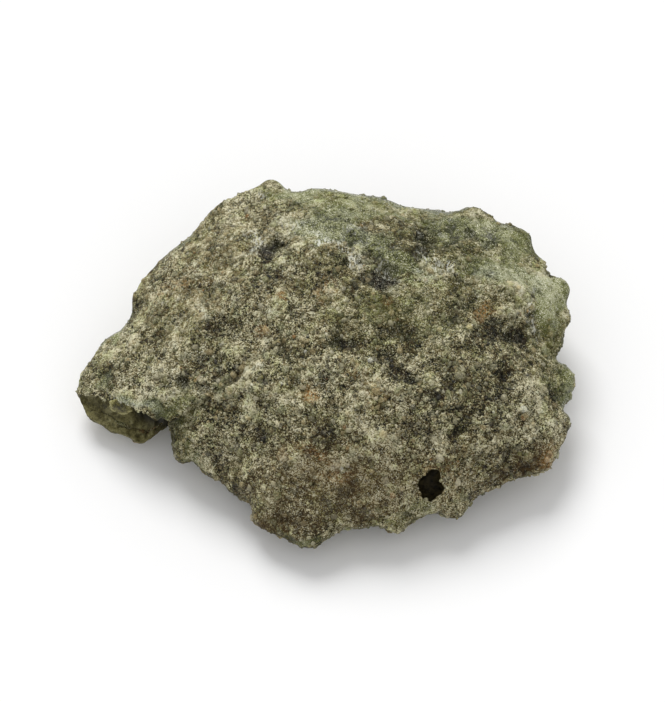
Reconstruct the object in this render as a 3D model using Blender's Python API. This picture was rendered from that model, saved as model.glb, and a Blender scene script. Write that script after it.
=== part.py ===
"""A lump of trinitite: sand fused to green glass, 36 mm long, lying on a small flat spot.

The stone is a closed sheet placed by picture coordinates. A picture coordinate is what a viewer
sees who looks down on the stone at VIEW_ELEVATION: `across` runs to the right, `up` runs up the
picture, and `height` is the height above the ground. A point on the stone is then

    x = across,  y = (up - height * cos(elevation)) / sin(elevation),  z = height

so the outline that the viewer sees is the closed curve OUTLINE, whatever the heights are.
"""

import itertools
import math

import bmesh
import bpy
import numpy as np
from mathutils import Matrix, Vector

MM = 0.001
VIEW_ELEVATION = math.radians(60)

# How fine the sheet is: squares across the face and the belly, and up the band between them.
FACE_SQUARES = 34
BAND_SQUARES = 8
# Places at which the outline is read between two of its points.
SPAN_STEPS = 8

# The middle that the sheet opens out from, in picture coordinates.
MIDDLE = (0.0, 4.0)

# The outline against the ground, anticlockwise from the right-hand end.
# Each point is across, up and height, in mm.
OUTLINE = (
    (17.3, 2.9, 5.6),
    (17.1, 4.3, 5.9),
    (17.1, 5.5, 6.2),
    (16.1, 6.3, 6.6),
    (15.4, 7.1, 6.8),
    (14.8, 8.1, 7.0),
    (14.4, 9.0, 7.1),
    (13.6, 9.8, 7.2),
    (12.3, 10.3, 7.3),
    (11.1, 10.9, 7.6),
    (10.1, 11.1, 7.6),
    (9.1, 10.8, 7.4),
    (7.3, 11.0, 7.5),
    (5.8, 11.3, 7.8),
    (4.3, 11.8, 8.1),
    (2.9, 12.1, 8.3),
    (1.1, 12.1, 8.4),
    (-0.7, 12.3, 8.5),
    (-2.2, 12.3, 8.5),
    (-3.3, 12.4, 8.6),
    (-4.2, 12.7, 8.8),
    (-5.1, 12.6, 8.7),
    (-6.0, 12.3, 8.5),
    (-7.1, 11.9, 8.2),
    (-8.3, 11.2, 7.9),
    (-9.4, 10.0, 7.5),
    (-10.4, 9.0, 7.1),
    (-11.6, 8.0, 6.7),
    (-12.6, 7.0, 6.2),
    (-13.6, 5.8, 5.7),
    (-14.3, 4.4, 5.2),
    (-14.5, 3.4, 4.9),
    (-15.1, 2.3, 4.5),
    (-15.9, 1.7, 4.1),
    (-16.8, 0.8, 3.7),
    (-17.6, -0.2, 3.3),
    (-18.2, -1.4, 2.9),
    (-18.5, -2.3, 2.6),
    (-18.3, -3.0, 2.3),
    (-17.8, -3.9, 2.0),
    (-17.1, -4.5, 1.8),
    (-16.1, -5.2, 1.6),
    (-15.0, -5.6, 1.5),
    (-14.0, -5.9, 1.4),
    (-13.3, -5.9, 1.4),
    (-12.6, -5.3, 1.6),
    (-11.8, -4.9, 2.1),
    (-11.6, -5.7, 2.3),
    (-11.4, -6.5, 2.3),
    (-10.8, -7.2, 2.3),
    (-9.8, -7.4, 2.3),
    (-9.0, -8.1, 2.2),
    (-7.8, -8.8, 2.2),
    (-6.9, -9.7, 2.2),
    (-5.9, -10.3, 2.1),
    (-5.6, -11.1, 2.0),
    (-5.3, -11.8, 2.0),
    (-4.3, -12.3, 2.0),
    (-3.3, -12.6, 2.0),
    (-2.4, -13.1, 2.0),
    (-1.4, -13.2, 2.0),
    (-0.3, -12.8, 2.1),
    (0.6, -12.3, 2.2),
    (1.2, -11.9, 2.2),
    (2.2, -12.1, 2.2),
    (3.3, -11.8, 2.2),
    (4.1, -12.0, 2.1),
    (4.9, -12.1, 2.1),
    (5.8, -11.5, 2.2),
    (6.9, -11.0, 2.3),
    (7.9, -10.8, 2.3),
    (8.7, -11.1, 2.2),
    (9.5, -10.9, 2.3),
    (10.2, -10.2, 2.5),
    (11.5, -9.4, 2.6),
    (12.7, -8.9, 2.8),
    (14.2, -8.3, 2.9),
    (15.6, -7.8, 3.0),
    (16.4, -6.7, 3.3),
    (16.9, -5.7, 3.6),
    (17.0, -4.6, 3.9),
    (16.7, -3.8, 4.1),
    (16.9, -3.3, 4.2),
    (17.5, -2.5, 4.4),
    (17.6, -1.6, 4.6),
    (17.3, -0.7, 4.8),
    (16.5, 0.0, 5.0),
    (16.7, 0.8, 5.1),
    (16.9, 2.0, 5.4),
)

# The crest of the stone, from the left toe to the right end: across, up and height, in mm.
CREST = (
    (-18.6, -2.4, 4.4),
    (-16.4, -0.6, 5.4),
    (-14.2, 2.4, 6.8),
    (-11.8, 5.4, 8.4),
    (-8.4, 7.6, 9.9),
    (-4.0, 8.6, 11.1),
    (1.0, 8.7, 11.7),
    (5.0, 7.9, 11.4),
    (9.0, 7.4, 10.7),
    (13.0, 6.6, 9.7),
    (16.0, 5.0, 8.2),
    (18.0, 3.2, 6.6),
)
# How the face falls from the crest: drop in mm = rate * (distance in mm) ** power.
FRONT_FALL = (0.040, 1.69)
BACK_FALL = (0.10, 2.0)
# The power that squares off the shoulders: 2 is an ellipse, more is flatter with tighter rims.
SHOULDER = 4.2
# Where the face and the belly end and the band begins, as a share of the way to the outline.
BAND_START = 0.86

# The belly: its lowest place in picture coordinates, its widths, its depth below the
# flat spot and how far it rises away from there, in mm.
BELLY_PLACE = (1.1, -1.3)
BELLY_WIDTHS = (12.0, 9.0)
BELLY_SINK = 0.30
BELLY_RISE = 1.7

# Swells and hollows of the face: across, up, half width, half height, turn in degrees,
# and how far it stands out (or, if negative, sinks in), in mm.
SWELLS = (
    (-3.9, 8.2, 1.3, 0.9, 10, -0.50),
    (6.9, 8.7, 1.1, 0.8, 0, -0.55),
    (4.4, 6.3, 1.8, 1.0, -15, -0.50),
    (9.0, 9.6, 1.6, 1.2, 0, -0.35),
    (1.2, 9.6, 2.2, 0.9, -12, 0.35),
    (13.0, 8.6, 1.6, 1.2, 0, 0.40),
    (12.5, 5.6, 2.6, 1.2, -20, 0.30),
    (-10.6, -1.0, 1.0, 1.4, 20, -0.40),
    (-7.6, 2.2, 1.5, 1.0, 30, -0.30),
    (-5.2, -1.8, 1.5, 1.1, 0, 0.25),
    (0.7, 1.3, 1.4, 1.6, 0, -0.35),
    (-14.6, -1.0, 2.0, 0.9, 30, 0.30),
    (13.2, 1.7, 1.4, 1.1, 0, -0.35),
    (-3.4, -11.0, 1.8, 0.9, -10, -0.40),
    (13.2, -6.9, 2.4, 0.7, 20, -0.45),
    (5.6, -2.4, 2.6, 1.2, -40, 0.25),
    (2.4, -10.9, 1.2, 0.8, 0, 0.30),
    (-9.6, -6.6, 1.0, 0.8, -30, 0.30),
)

# Glassy beads that stand proud along the rim: across, up, height, radius and rise, in mm.
BEADS = (
    (14.4, 9.2, 7.2, 1.0, 0.30),
    (15.6, 7.0, 6.8, 0.7, 0.25),
    (17.2, 5.0, 6.2, 0.9, 0.35),
    (17.4, 3.0, 5.6, 0.9, 0.25),
    (16.9, 1.3, 5.2, 0.7, 0.25),
    (17.6, -1.4, 4.6, 0.9, 0.35),
    (17.0, -4.4, 4.0, 0.9, 0.30),
    (-4.3, 12.8, 8.8, 0.8, 0.35),
    (11.0, 10.8, 7.6, 0.9, 0.20),
    (8.7, -10.9, 2.3, 0.7, 0.25),
    (7.2, -10.8, 2.3, 0.9, 0.20),
    (4.6, -11.9, 2.1, 0.8, 0.25),
    (-1.6, -12.9, 2.0, 1.0, 0.12),
    (-10.9, -7.0, 2.3, 0.7, 0.30),
    (-13.8, -5.7, 1.5, 0.7, 0.20),
)

# Lumps all over the stone: size across, how far they stand out, both in mm, and their seed.
LUMPS = (
    (4.6, 0.42, 11),
    (2.3, 0.26, 23),
    (1.3, 0.12, 37),
)
# On the outline the lumps stand out by only this share, because its own points carry its
# bumps, and on the belly by this much more.
OUTLINE_LUMPS = 0.35
BELLY_LUMPS = 1.6

# The hollow under the broken skin of the toe, from its left end to its right end: across and
# up of its lip, across and up of its lower edge, and how far it goes in, in mm.
TOE_OPENING = (
    (-18.30, -2.55, -18.38, -2.80, 0.2),
    (-17.70, -2.75, -18.05, -3.50, 0.9),
    (-16.80, -2.75, -17.25, -4.28, 1.6),
    (-15.80, -2.90, -16.15, -5.02, 2.2),
    (-14.70, -3.10, -15.05, -5.42, 2.6),
    (-13.70, -3.45, -14.00, -5.74, 2.7),
    (-12.95, -3.90, -13.20, -5.74, 2.4),
    (-12.35, -4.15, -12.55, -5.18, 1.8),
    (-11.85, -4.35, -11.95, -4.85, 0.9),
    (-11.65, -4.50, -11.70, -4.70, 0.3),
)
# How far the hollow's lower edge stands above the outline, the way it goes in, how uneven
# its wall is, and how finely it is made along its length and round it.
TOE_EDGE = 0.45
TOE_INWARD = (0.15, 0.98, -0.05)
TOE_LUMPS = 0.12
TOE_RINGS = 24
TOE_SIDES = 20

# The bubble that opens in the front face: its mouth is a tall drop, pointed at the top.
# The mouth's points are across and up from its middle, in mm.
MOUTH_PLACE = (7.17, -8.78)
MOUTH_SHAPE = (
    (0.32, 1.05),
    (0.71, 0.78),
    (0.76, 0.13),
    (0.98, -0.37),
    (0.85, -0.75),
    (0.44, -0.98),
    (-0.44, -0.98),
    (-0.62, -0.58),
    (-0.90, -0.10),
    (-0.66, 0.34),
    (-0.18, 0.78),
)
MOUTH_DEPTH = 1.3
BUBBLE_SINK = (0.0, 0.7, -1.7)
BUBBLE_HALVES = (1.35, 1.3, 0.9)

# Smaller broken bubbles in the belly and the back: direction round the stone in degrees,
# share of the way to the outline, and radius in mm.
VESICLES = (
    (62, 0.985, 1.25),
    (92, 0.995, 0.80),
    (118, 0.970, 1.55),
    (150, 0.990, 0.85),
    (26, 0.980, 1.10),
    (4, 0.960, 0.75),
    (-34, 0.975, 0.95),
    (-76, 0.960, 1.20),
    (-118, 0.965, 0.85),
    (80, 0.86, 1.70),
    (140, 0.84, 1.10),
    (20, 0.80, 1.45),
    (-60, 0.78, 1.00),
    (-128, 0.82, 1.35),
    (-5, 0.90, 0.85),
)
# How far a bubble's middle lies outside the surface, as a share of its radius.
VESICLE_OUT = 0.3

STONE_COLOUR = (0.16, 0.15, 0.085, 1.0)
STONE_ROUGHNESS = 0.55


def clear_scene():
    for thing in list(bpy.data.objects):
        bpy.data.objects.remove(thing, do_unlink=True)


def picture_to_stone(across, up, height):
    """Points on the stone, from where a viewer sees them and how high they stand."""
    depth = (up - height * math.cos(VIEW_ELEVATION)) / math.sin(VIEW_ELEVATION)
    return np.stack([across, depth, height], axis=-1)


def corner_values(corners, seed):
    """A repeatable value from 0 to 1 for each whole-number corner of a lattice."""
    x, y, z = corners.astype(np.uint32).T
    mixed = x * np.uint32(73856093) ^ y * np.uint32(19349663) ^ z * np.uint32(83492791)
    mixed = (mixed ^ np.uint32(seed)) * np.uint32(2654435761)
    mixed = (mixed ^ (mixed >> np.uint32(15))) * np.uint32(2246822519)
    mixed = mixed ^ (mixed >> np.uint32(13))
    return mixed / float(2**32)


def lump_noise(points, size, seed):
    """Smooth noise from -1 to 1: random corner values of cubes, blended by 3t^2 - 2t^3."""
    cells = points / size
    corner = np.floor(cells).astype(np.int64)
    part = cells - corner
    ease = part * part * (3 - 2 * part)
    total = np.zeros(len(points))
    for step in itertools.product((0, 1), repeat=3):
        share = np.prod(np.where(step, ease, 1 - ease), axis=1)
        total += share * corner_values(corner + step, seed)
    return 2 * total - 1


def outline_around():
    """The outline as angle round MIDDLE, distance from it and height, in rising angle.

    It is a closed Catmull-Rom curve through OUTLINE.
    """
    here = np.array(OUTLINE)
    before, after, later = (np.roll(here, turn, axis=0) for turn in (1, -1, -2))
    s = np.linspace(0, 1, SPAN_STEPS, endpoint=False)[None, :, None]
    before, here, after, later = (p[:, None, :] for p in (before, here, after, later))
    straight = after - before
    bend = 2 * before - 5 * here + 4 * after - later
    twist = 3 * here - before - 3 * after + later
    curve = (here + (straight * s + bend * s**2 + twist * s**3) / 2).reshape(-1, 3)
    across = curve[:, 0] - MIDDLE[0]
    up = curve[:, 1] - MIDDLE[1]
    angle = np.arctan2(up, across) % math.tau
    order = np.argsort(angle)
    return angle[order], np.hypot(across, up)[order], curve[order, 2]


def face_height(across, up):
    """Height of the face above the ground: the crest's height, less a fall that grows with
    the distance in front of it or behind it, plus the swells, each a bell curve."""
    crest = np.array(CREST)
    crest_up = np.interp(across, crest[:, 0], crest[:, 1])
    height = np.interp(across, crest[:, 0], crest[:, 2])
    in_front = np.clip(crest_up - up, 0, None)
    behind = np.clip(up - crest_up, 0, None)
    height = height - FRONT_FALL[0] * in_front ** FRONT_FALL[1]
    height = height - BACK_FALL[0] * behind ** BACK_FALL[1]
    for place_across, place_up, half_width, half_height, turn, rise in SWELLS:
        cos, sin = math.cos(math.radians(turn)), math.sin(math.radians(turn))
        right, above = across - place_across, up - place_up
        along = (right * cos + above * sin) / half_width
        over = (above * cos - right * sin) / half_height
        height = height + rise * np.exp(-(along**2) - over**2)
    return height


def belly_height(across, up):
    """Height of the belly: lowest at BELLY_PLACE, rising away from it and levelling off."""
    along = (across - BELLY_PLACE[0]) / BELLY_WIDTHS[0]
    over = (up - BELLY_PLACE[1]) / BELLY_WIDTHS[1]
    return BELLY_RISE * (1 - np.exp(-(along**2) - over**2)) - BELLY_SINK


def sheet_point(turn, reach, side):
    """Smooth stone at `turn` round MIDDLE and `reach` of the way to the outline, from 0 to 1.

    The height goes from the outline's to the face's (side above 0) or the belly's (side
    below 0) by the share (1 - reach^SHOULDER)^(1/2).
    """
    angle, distance, rim = outline_around()
    turn = turn % math.tau
    edge = np.interp(turn, angle, rim, period=math.tau)
    distance = reach * np.interp(turn, angle, distance, period=math.tau)
    across = MIDDLE[0] + distance * np.cos(turn)
    up = MIDDLE[1] + distance * np.sin(turn)
    share = np.sqrt(np.clip(1 - reach**SHOULDER, 0, 1))
    goal = np.where(side > 0, face_height(across, up), belly_height(across, up))
    return picture_to_stone(across, up, edge + (goal - edge) * share)


def box_to_sheet(box):
    """Turn, reach and side of the sheet for points on a box from -1 to 1.

    Squares round the top and bottom become rings: a point's turn is 45 degrees times its
    smaller side over its larger one, and its reach grows with the larger. Up the band the
    share (1 - reach^SHOULDER)^(1/2) grows evenly with the height in the box.
    """
    right, ahead, above = box.T
    wide = np.abs(right) >= np.abs(ahead)
    larger = np.where(wide, right, ahead)
    smaller = np.where(wide, ahead, right)
    lean = np.divide(smaller, larger, out=np.zeros_like(larger), where=larger != 0)
    turn = np.where(wide, lean, 2 - lean) * math.pi / 4 + np.where(larger < 0, math.pi, 0)
    top_share = math.sqrt(1 - BAND_START**SHOULDER)
    band = (1 - (top_share * above) ** 2) ** (1 / SHOULDER)
    reach = np.where(np.abs(above) < 1, band, np.abs(larger) * BAND_START)
    return turn, reach, above


def relief(points, reach, side):
    """How far lumps and beads stand out of the smooth stone at these points, in mm."""
    rise = np.zeros(len(points))
    for size, height, seed in LUMPS:
        rise += height * lump_noise(points, size, seed)
    rise *= np.interp(side, (-1, 0, 1), (BELLY_LUMPS, 1, 1))
    rise *= 1 - (1 - OUTLINE_LUMPS) * reach ** (2 * SHOULDER)
    for across, up, height, radius, out in BEADS:
        away = points - picture_to_stone(across, up, height)
        rise += out * np.exp(-np.sum(away**2, axis=1) / radius**2)
    return rise


def squared_box():
    """A box from -1 to 1, cut into squares: FACE_SQUARES each way and BAND_SQUARES up."""
    box = bmesh.new()
    bmesh.ops.create_cube(box, size=2)
    upright = [e for e in box.edges if abs(e.verts[0].co.z - e.verts[1].co.z) > 1]
    bmesh.ops.subdivide_edges(box, edges=upright, cuts=BAND_SQUARES - 1, use_grid_fill=True)
    level = [e for e in box.edges if e.calc_length() > 1.9]
    bmesh.ops.subdivide_edges(box, edges=level, cuts=FACE_SQUARES - 1, use_grid_fill=True)
    return box


def stone_mesh():
    """The lumpy stone with its flat spot cut at height 0, in mm."""
    stone = squared_box()
    box = np.array([vertex.co for vertex in stone.verts], dtype=float)
    turn, reach, side = box_to_sheet(box)
    smooth = sheet_point(turn, reach, side)
    for vertex, place in zip(stone.verts, smooth):
        vertex.co = place
    stone.normal_update()
    outward = np.array([vertex.normal for vertex in stone.verts])
    lumpy = smooth + outward * relief(smooth, reach, side)[:, None]
    for vertex, place in zip(stone.verts, lumpy):
        vertex.co = place
    cut = bmesh.ops.bisect_plane(
        stone,
        geom=stone.verts[:] + stone.edges[:] + stone.faces[:],
        plane_co=(0, 0, 0),
        plane_no=(0, 0, -1),
        clear_outer=True,
    )
    rim = [edge for edge in cut["geom_cut"] if isinstance(edge, bmesh.types.BMEdge)]
    bmesh.ops.contextual_create(stone, geom=rim)
    bmesh.ops.recalc_face_normals(stone, faces=stone.faces[:])
    return stone


def add_object(name, shape, shift):
    """A Blender object from a bmesh in mm, with `shift` (mm) put into its points."""
    bmesh.ops.transform(shape, matrix=Matrix.Scale(MM, 4) @ Matrix.Translation(shift),
                        verts=shape.verts[:])
    mesh = bpy.data.meshes.new(name)
    shape.to_mesh(mesh)
    shape.free()
    made = bpy.data.objects.new(name, mesh)
    bpy.context.scene.collection.objects.link(made)
    return made


def cut_from(stone, name, shape, shift):
    """Takes the closed shape out of the stone."""
    bmesh.ops.recalc_face_normals(shape, faces=shape.faces[:])
    cutter = add_object(name, shape, shift)
    cutter.hide_render = True
    cutter.display_type = "WIRE"
    cut = stone.modifiers.new(name, "BOOLEAN")
    cut.operation = "DIFFERENCE"
    cut.solver = "EXACT"
    cut.object = cutter


def lumpy_ball(place, halves, turns, seed, finest=2):
    """An uneven ellipsoid in mm, for a bubble in the glass."""
    ball = bmesh.new()
    bmesh.ops.create_icosphere(ball, subdivisions=finest, radius=1)
    points = np.array([vertex.co for vertex in ball.verts])
    scale = 1 + 0.14 * lump_noise(points, 0.9, seed)
    for vertex, size in zip(ball.verts, scale):
        vertex.co = vertex.co * size
    matrix = Matrix.Translation(place)
    for axis, turn in zip("XYZ", turns):
        matrix = matrix @ Matrix.Rotation(math.radians(turn), 4, axis)
    matrix = matrix @ Matrix.Diagonal((*halves, 1))
    bmesh.ops.transform(ball, matrix=matrix, verts=ball.verts[:])
    return ball


def face_point(across, up):
    """The point of the smooth face that the viewer sees at this place of the picture."""
    angle, distance, _ = outline_around()
    right, above = across - MIDDLE[0], up - MIDDLE[1]
    turn = math.atan2(above, right) % math.tau
    reach = math.hypot(right, above) / np.interp(turn, angle, distance, period=math.tau)
    return Vector(sheet_point(turn, reach, 1))


def ring_tube(rings):
    """A closed tube through rings of points, each a list of as many Vectors as the others."""
    tube = bmesh.new()
    rings = [[tube.verts.new(point) for point in ring] for ring in rings]
    tube.faces.new(rings[0])
    tube.faces.new(rings[-1])
    for first, second in zip(rings, rings[1:]):
        for start in range(len(first)):
            end = (start + 1) % len(first)
            tube.faces.new((first[start], first[end], second[end], second[start]))
    return tube


def toe_hollow():
    """A tube along the toe's front edge, through its lip and its lower edge and behind them."""
    angle, _, rim = outline_around()
    table = np.array(TOE_OPENING).T
    row = np.arange(len(TOE_OPENING))
    rings = []
    for place in np.linspace(0, row[-1], TOE_RINGS):
        lip_across, lip_up, edge_across, edge_up, depth = (
            float(np.interp(place, row, column)) for column in table
        )
        lip = face_point(lip_across, lip_up)
        turn = math.atan2(edge_up - MIDDLE[1], edge_across - MIDDLE[0]) % math.tau
        height = np.interp(turn, angle, rim, period=math.tau) + TOE_EDGE
        edge = Vector(picture_to_stone(np.array(edge_across), np.array(edge_up), height))
        ring = []
        for side in range(TOE_SIDES):
            round_it = math.tau * side / TOE_SIDES
            ring.append((lip + edge) / 2 + (lip - edge) / 2 * math.cos(round_it))
            ring[-1] += Vector(TOE_INWARD) * depth * math.sin(round_it)
        rings.append(ring)
    lumps = TOE_LUMPS * lump_noise(np.array(rings).reshape(-1, 3), 1.4, 5)
    for ring, heights in zip(rings, lumps.reshape(TOE_RINGS, TOE_SIDES)):
        for point, height in zip(ring, heights):
            point += Vector(TOE_INWARD) * height
    return ring_tube(rings)


def mouth_shape():
    """A short tube along the line of sight through the face, with the mouth's outline."""
    centre = face_point(*MOUTH_PLACE)
    right = Vector((1, 0, 0))
    above = Vector((0, math.sin(VIEW_ELEVATION), math.cos(VIEW_ELEVATION)))
    sight = right.cross(above)
    return ring_tube([
        [centre + right * across + above * up + sight * depth for across, up in MOUTH_SHAPE]
        for depth in (1.5, -MOUTH_DEPTH)
    ])


def cut_bubbles(stone, shift):
    """Takes out the toe's hollow, the bubble in the front face and the smaller bubbles."""
    cut_from(stone, "toe_hollow_cutter", toe_hollow(), shift)
    cut_from(stone, "mouth_cutter", mouth_shape(), shift)
    inside = face_point(*MOUTH_PLACE) + Vector(BUBBLE_SINK)
    cut_from(stone, "bubble_cutter", lumpy_ball(inside, BUBBLE_HALVES, (0, 0, 0), seed=8), shift)
    for number, (turn, reach, radius) in enumerate(VESICLES):
        place = Vector(sheet_point(math.radians(turn), reach, -1))
        heart = Vector(sheet_point(math.radians(turn), 0.6, 1))
        place += (place - heart).normalized() * radius * VESICLE_OUT
        halves = (radius, radius, radius * 0.85)
        ball = lumpy_ball(place, halves, (number * 40, 0, number * 70), seed=40 + number)
        cut_from(stone, f"vesicle_cutter_{number + 1:02d}", ball, shift)


def stone_material():
    """Dull green-grey fused sand."""
    material = bpy.data.materials.new("fused_sand")
    material.use_nodes = True
    shader = material.node_tree.nodes["Principled BSDF"]
    shader.inputs["Base Color"].default_value = STONE_COLOUR
    shader.inputs["Roughness"].default_value = STONE_ROUGHNESS
    shader.inputs["Metallic"].default_value = 0.0
    return material


def build():
    clear_scene()
    shape = stone_mesh()
    points = np.array([vertex.co for vertex in shape.verts])
    middle = (points.min(axis=0) + points.max(axis=0)) / 2
    shift = Vector((-middle[0], -middle[1], 0))
    stone = add_object("trinitite", shape, shift)
    stone.data.materials.append(stone_material())
    stone.data.shade_smooth()
    cut_bubbles(stone, shift)


build()
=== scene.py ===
"""The looks of a lump of trinitite, 36 mm long: its skin, its hollows and its sand grains.

Lengths are in mm until a mesh is made. A picture coordinate is what the camera sees who looks
down on the stone at VIEW_ELEVATION: `across` runs right, `up` runs up the picture, and
`height` is the height above the ground. The skin is the solid's sheet, opened out from MIDDLE
to OUTLINE, with finer squares and finer relief. It is made as two sheets: the face with the
sides, and the belly, whose top edge lies behind the first sheet's lower edge and isn't joined
to it.
"""

import itertools
import math

import bpy
import numpy as np
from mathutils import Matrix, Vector


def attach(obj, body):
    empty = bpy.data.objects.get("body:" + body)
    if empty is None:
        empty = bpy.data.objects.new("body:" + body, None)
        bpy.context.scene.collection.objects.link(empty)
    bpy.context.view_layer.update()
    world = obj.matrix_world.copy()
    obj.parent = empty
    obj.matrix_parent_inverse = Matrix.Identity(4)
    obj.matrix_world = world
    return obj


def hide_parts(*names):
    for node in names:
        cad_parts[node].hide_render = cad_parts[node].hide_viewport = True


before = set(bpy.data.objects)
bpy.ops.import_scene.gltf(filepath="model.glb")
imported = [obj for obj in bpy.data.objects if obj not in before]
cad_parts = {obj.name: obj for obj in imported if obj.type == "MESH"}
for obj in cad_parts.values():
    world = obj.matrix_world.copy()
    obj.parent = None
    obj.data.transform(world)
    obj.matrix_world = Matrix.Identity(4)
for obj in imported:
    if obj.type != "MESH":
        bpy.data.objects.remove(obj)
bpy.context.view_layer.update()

MM = 0.001
BODY = "root"
STONE_NODE = "trinitite"
VIEW_ELEVATION = math.radians(60)
# The way from the stone to where the picture is seen from.
SIGHT = np.array([0, -math.cos(VIEW_ELEVATION), math.sin(VIEW_ELEVATION)])
# From the picture's middle to the middle of the stone's box.
SHIFT = np.array([0.3786, 2.7468, 0.0])

# How fine the skin is: squares across the face and the belly, and up the band between them.
FACE_SQUARES = 410
BAND_SQUARES = 88
BELLY_SQUARES = 150
BELLY_BAND = 18
# How far down the box's band the face goes, how far the belly runs on behind it, and how deep.
FACE_END = -0.70
BELLY_OVERLAP = 0.12
BELLY_TUCK = 0.30
# The baking map: its name, the band's width as a share of the face's half width, and the share
# of the map's width that the face has. The rest is a strip for a hollow's wall.
BAKING_MAP = "OFBake"
MAP_BAND = 0.43
MAP_SHARE = 0.76
HOLLOW_MAP_MIDDLE = (0.88, 0.5)
HOLLOW_MAP_HALVES = (0.11, 0.46)
# The four quarters of the face, and the slot of the hollow's wall that goes with each.
FAN_SLOT = 4
QUARTERS = (
    ("front_left_skin", 5),
    ("front_right_skin", 6),
    ("back_left_skin", None),
    ("back_right_skin", None),
)
# Places at which a closed outline is read between two of its points.
SPAN_STEPS = 8

# The middle that the sheet opens out from, in picture coordinates.
MIDDLE = (0.0, 4.0)

# The outline against the ground, anticlockwise from the right-hand end.
# Each point is across, up and height, in mm.
OUTLINE = (
    (17.3, 2.9, 5.6), (17.1, 4.3, 5.9), (17.1, 5.5, 6.2), (16.1, 6.3, 6.6), (15.4, 7.1, 6.8),
    (14.8, 8.1, 7.0), (14.4, 9.0, 7.1), (13.6, 9.8, 7.2), (12.3, 10.3, 7.3), (11.1, 10.9, 7.6),
    (10.1, 11.1, 7.6), (9.1, 10.8, 7.4), (7.3, 11.0, 7.5), (5.8, 11.3, 7.8), (4.3, 11.8, 8.1),
    (2.9, 12.1, 8.3), (1.1, 12.1, 8.4), (-0.7, 12.3, 8.5), (-2.2, 12.3, 8.5), (-3.3, 12.4, 8.6),
    (-4.2, 12.7, 8.8), (-5.1, 12.6, 8.7), (-6.0, 12.3, 8.5), (-7.1, 11.9, 8.2), (-8.3, 11.2, 7.9),
    (-9.4, 10.0, 7.5), (-10.4, 9.0, 7.1), (-11.6, 8.0, 6.7), (-12.6, 7.0, 6.2), (-13.6, 5.8, 5.7),
    (-14.3, 4.4, 5.2), (-14.5, 3.4, 4.9), (-15.1, 2.3, 4.5), (-15.9, 1.7, 4.1), (-16.8, 0.8, 3.7),
    (-17.6, -0.2, 3.3), (-18.2, -1.4, 2.9), (-18.5, -2.3, 2.6), (-18.3, -3.0, 2.3),
    (-17.8, -3.9, 2.0), (-17.1, -4.5, 1.8), (-16.1, -5.2, 1.6), (-15.0, -5.6, 1.5),
    (-14.0, -5.9, 1.4), (-13.3, -5.9, 1.4), (-12.6, -5.3, 1.6), (-11.8, -4.9, 2.1),
    (-11.6, -5.7, 2.3), (-11.4, -6.5, 2.3), (-10.8, -7.2, 2.3), (-9.8, -7.4, 2.3),
    (-9.0, -8.1, 2.2), (-7.8, -8.8, 2.2), (-6.9, -9.7, 2.2), (-5.9, -10.3, 2.1),
    (-5.6, -11.1, 2.0), (-5.3, -11.8, 2.0), (-4.3, -12.3, 2.0), (-3.3, -12.6, 2.0),
    (-2.4, -13.1, 2.0), (-1.4, -13.2, 2.0), (-0.3, -12.8, 2.1), (0.6, -12.3, 2.2),
    (1.2, -11.9, 2.2), (2.2, -12.1, 2.2), (3.3, -11.8, 2.2), (4.1, -12.0, 2.1), (4.9, -12.1, 2.1),
    (5.8, -11.5, 2.2), (6.9, -11.0, 2.3), (7.9, -10.8, 2.3), (8.7, -11.1, 2.2), (9.5, -10.9, 2.3),
    (10.2, -10.2, 2.5), (11.5, -9.4, 2.6), (12.7, -8.9, 2.8), (14.2, -8.3, 2.9),
    (15.6, -7.8, 3.0), (16.4, -6.7, 3.3), (16.9, -5.7, 3.6), (17.0, -4.6, 3.9), (16.7, -3.8, 4.1),
    (16.9, -3.3, 4.2), (17.5, -2.5, 4.4), (17.6, -1.6, 4.6), (17.3, -0.7, 4.8), (16.5, 0.0, 5.0),
    (16.7, 0.8, 5.1), (16.9, 2.0, 5.4),
)

# The crest of the stone, from the left toe to the right end: across, up and height, in mm.
CREST = (
    (-18.6, -2.4, 4.4), (-16.4, -0.6, 5.4), (-14.2, 2.4, 6.8), (-11.8, 5.4, 8.4),
    (-8.4, 7.6, 9.9), (-4.0, 8.6, 11.1), (1.0, 8.7, 11.7), (5.0, 7.9, 11.4), (9.0, 7.4, 10.7),
    (13.0, 6.6, 9.7), (16.0, 5.0, 8.2), (18.0, 3.2, 6.6),
)

# How the face falls from the crest: drop in mm = rate * (distance in mm) ** power.
FRONT_FALL = (0.040, 1.69)
BACK_FALL = (0.10, 2.0)
# The power that squares off the shoulders: 2 is an ellipse, more is flatter with tighter rims.
SHOULDER = 4.2

# Where the face and the belly end and the band begins, as a share of the way to the outline.
BAND_START = 0.86

# The belly: its lowest place in picture coordinates, its widths, its depth below the
# flat spot and how far it rises away from there, in mm.
BELLY_PLACE = (1.1, -1.3)
BELLY_WIDTHS = (12.0, 9.0)
BELLY_SINK = 0.30
BELLY_RISE = 1.7

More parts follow.
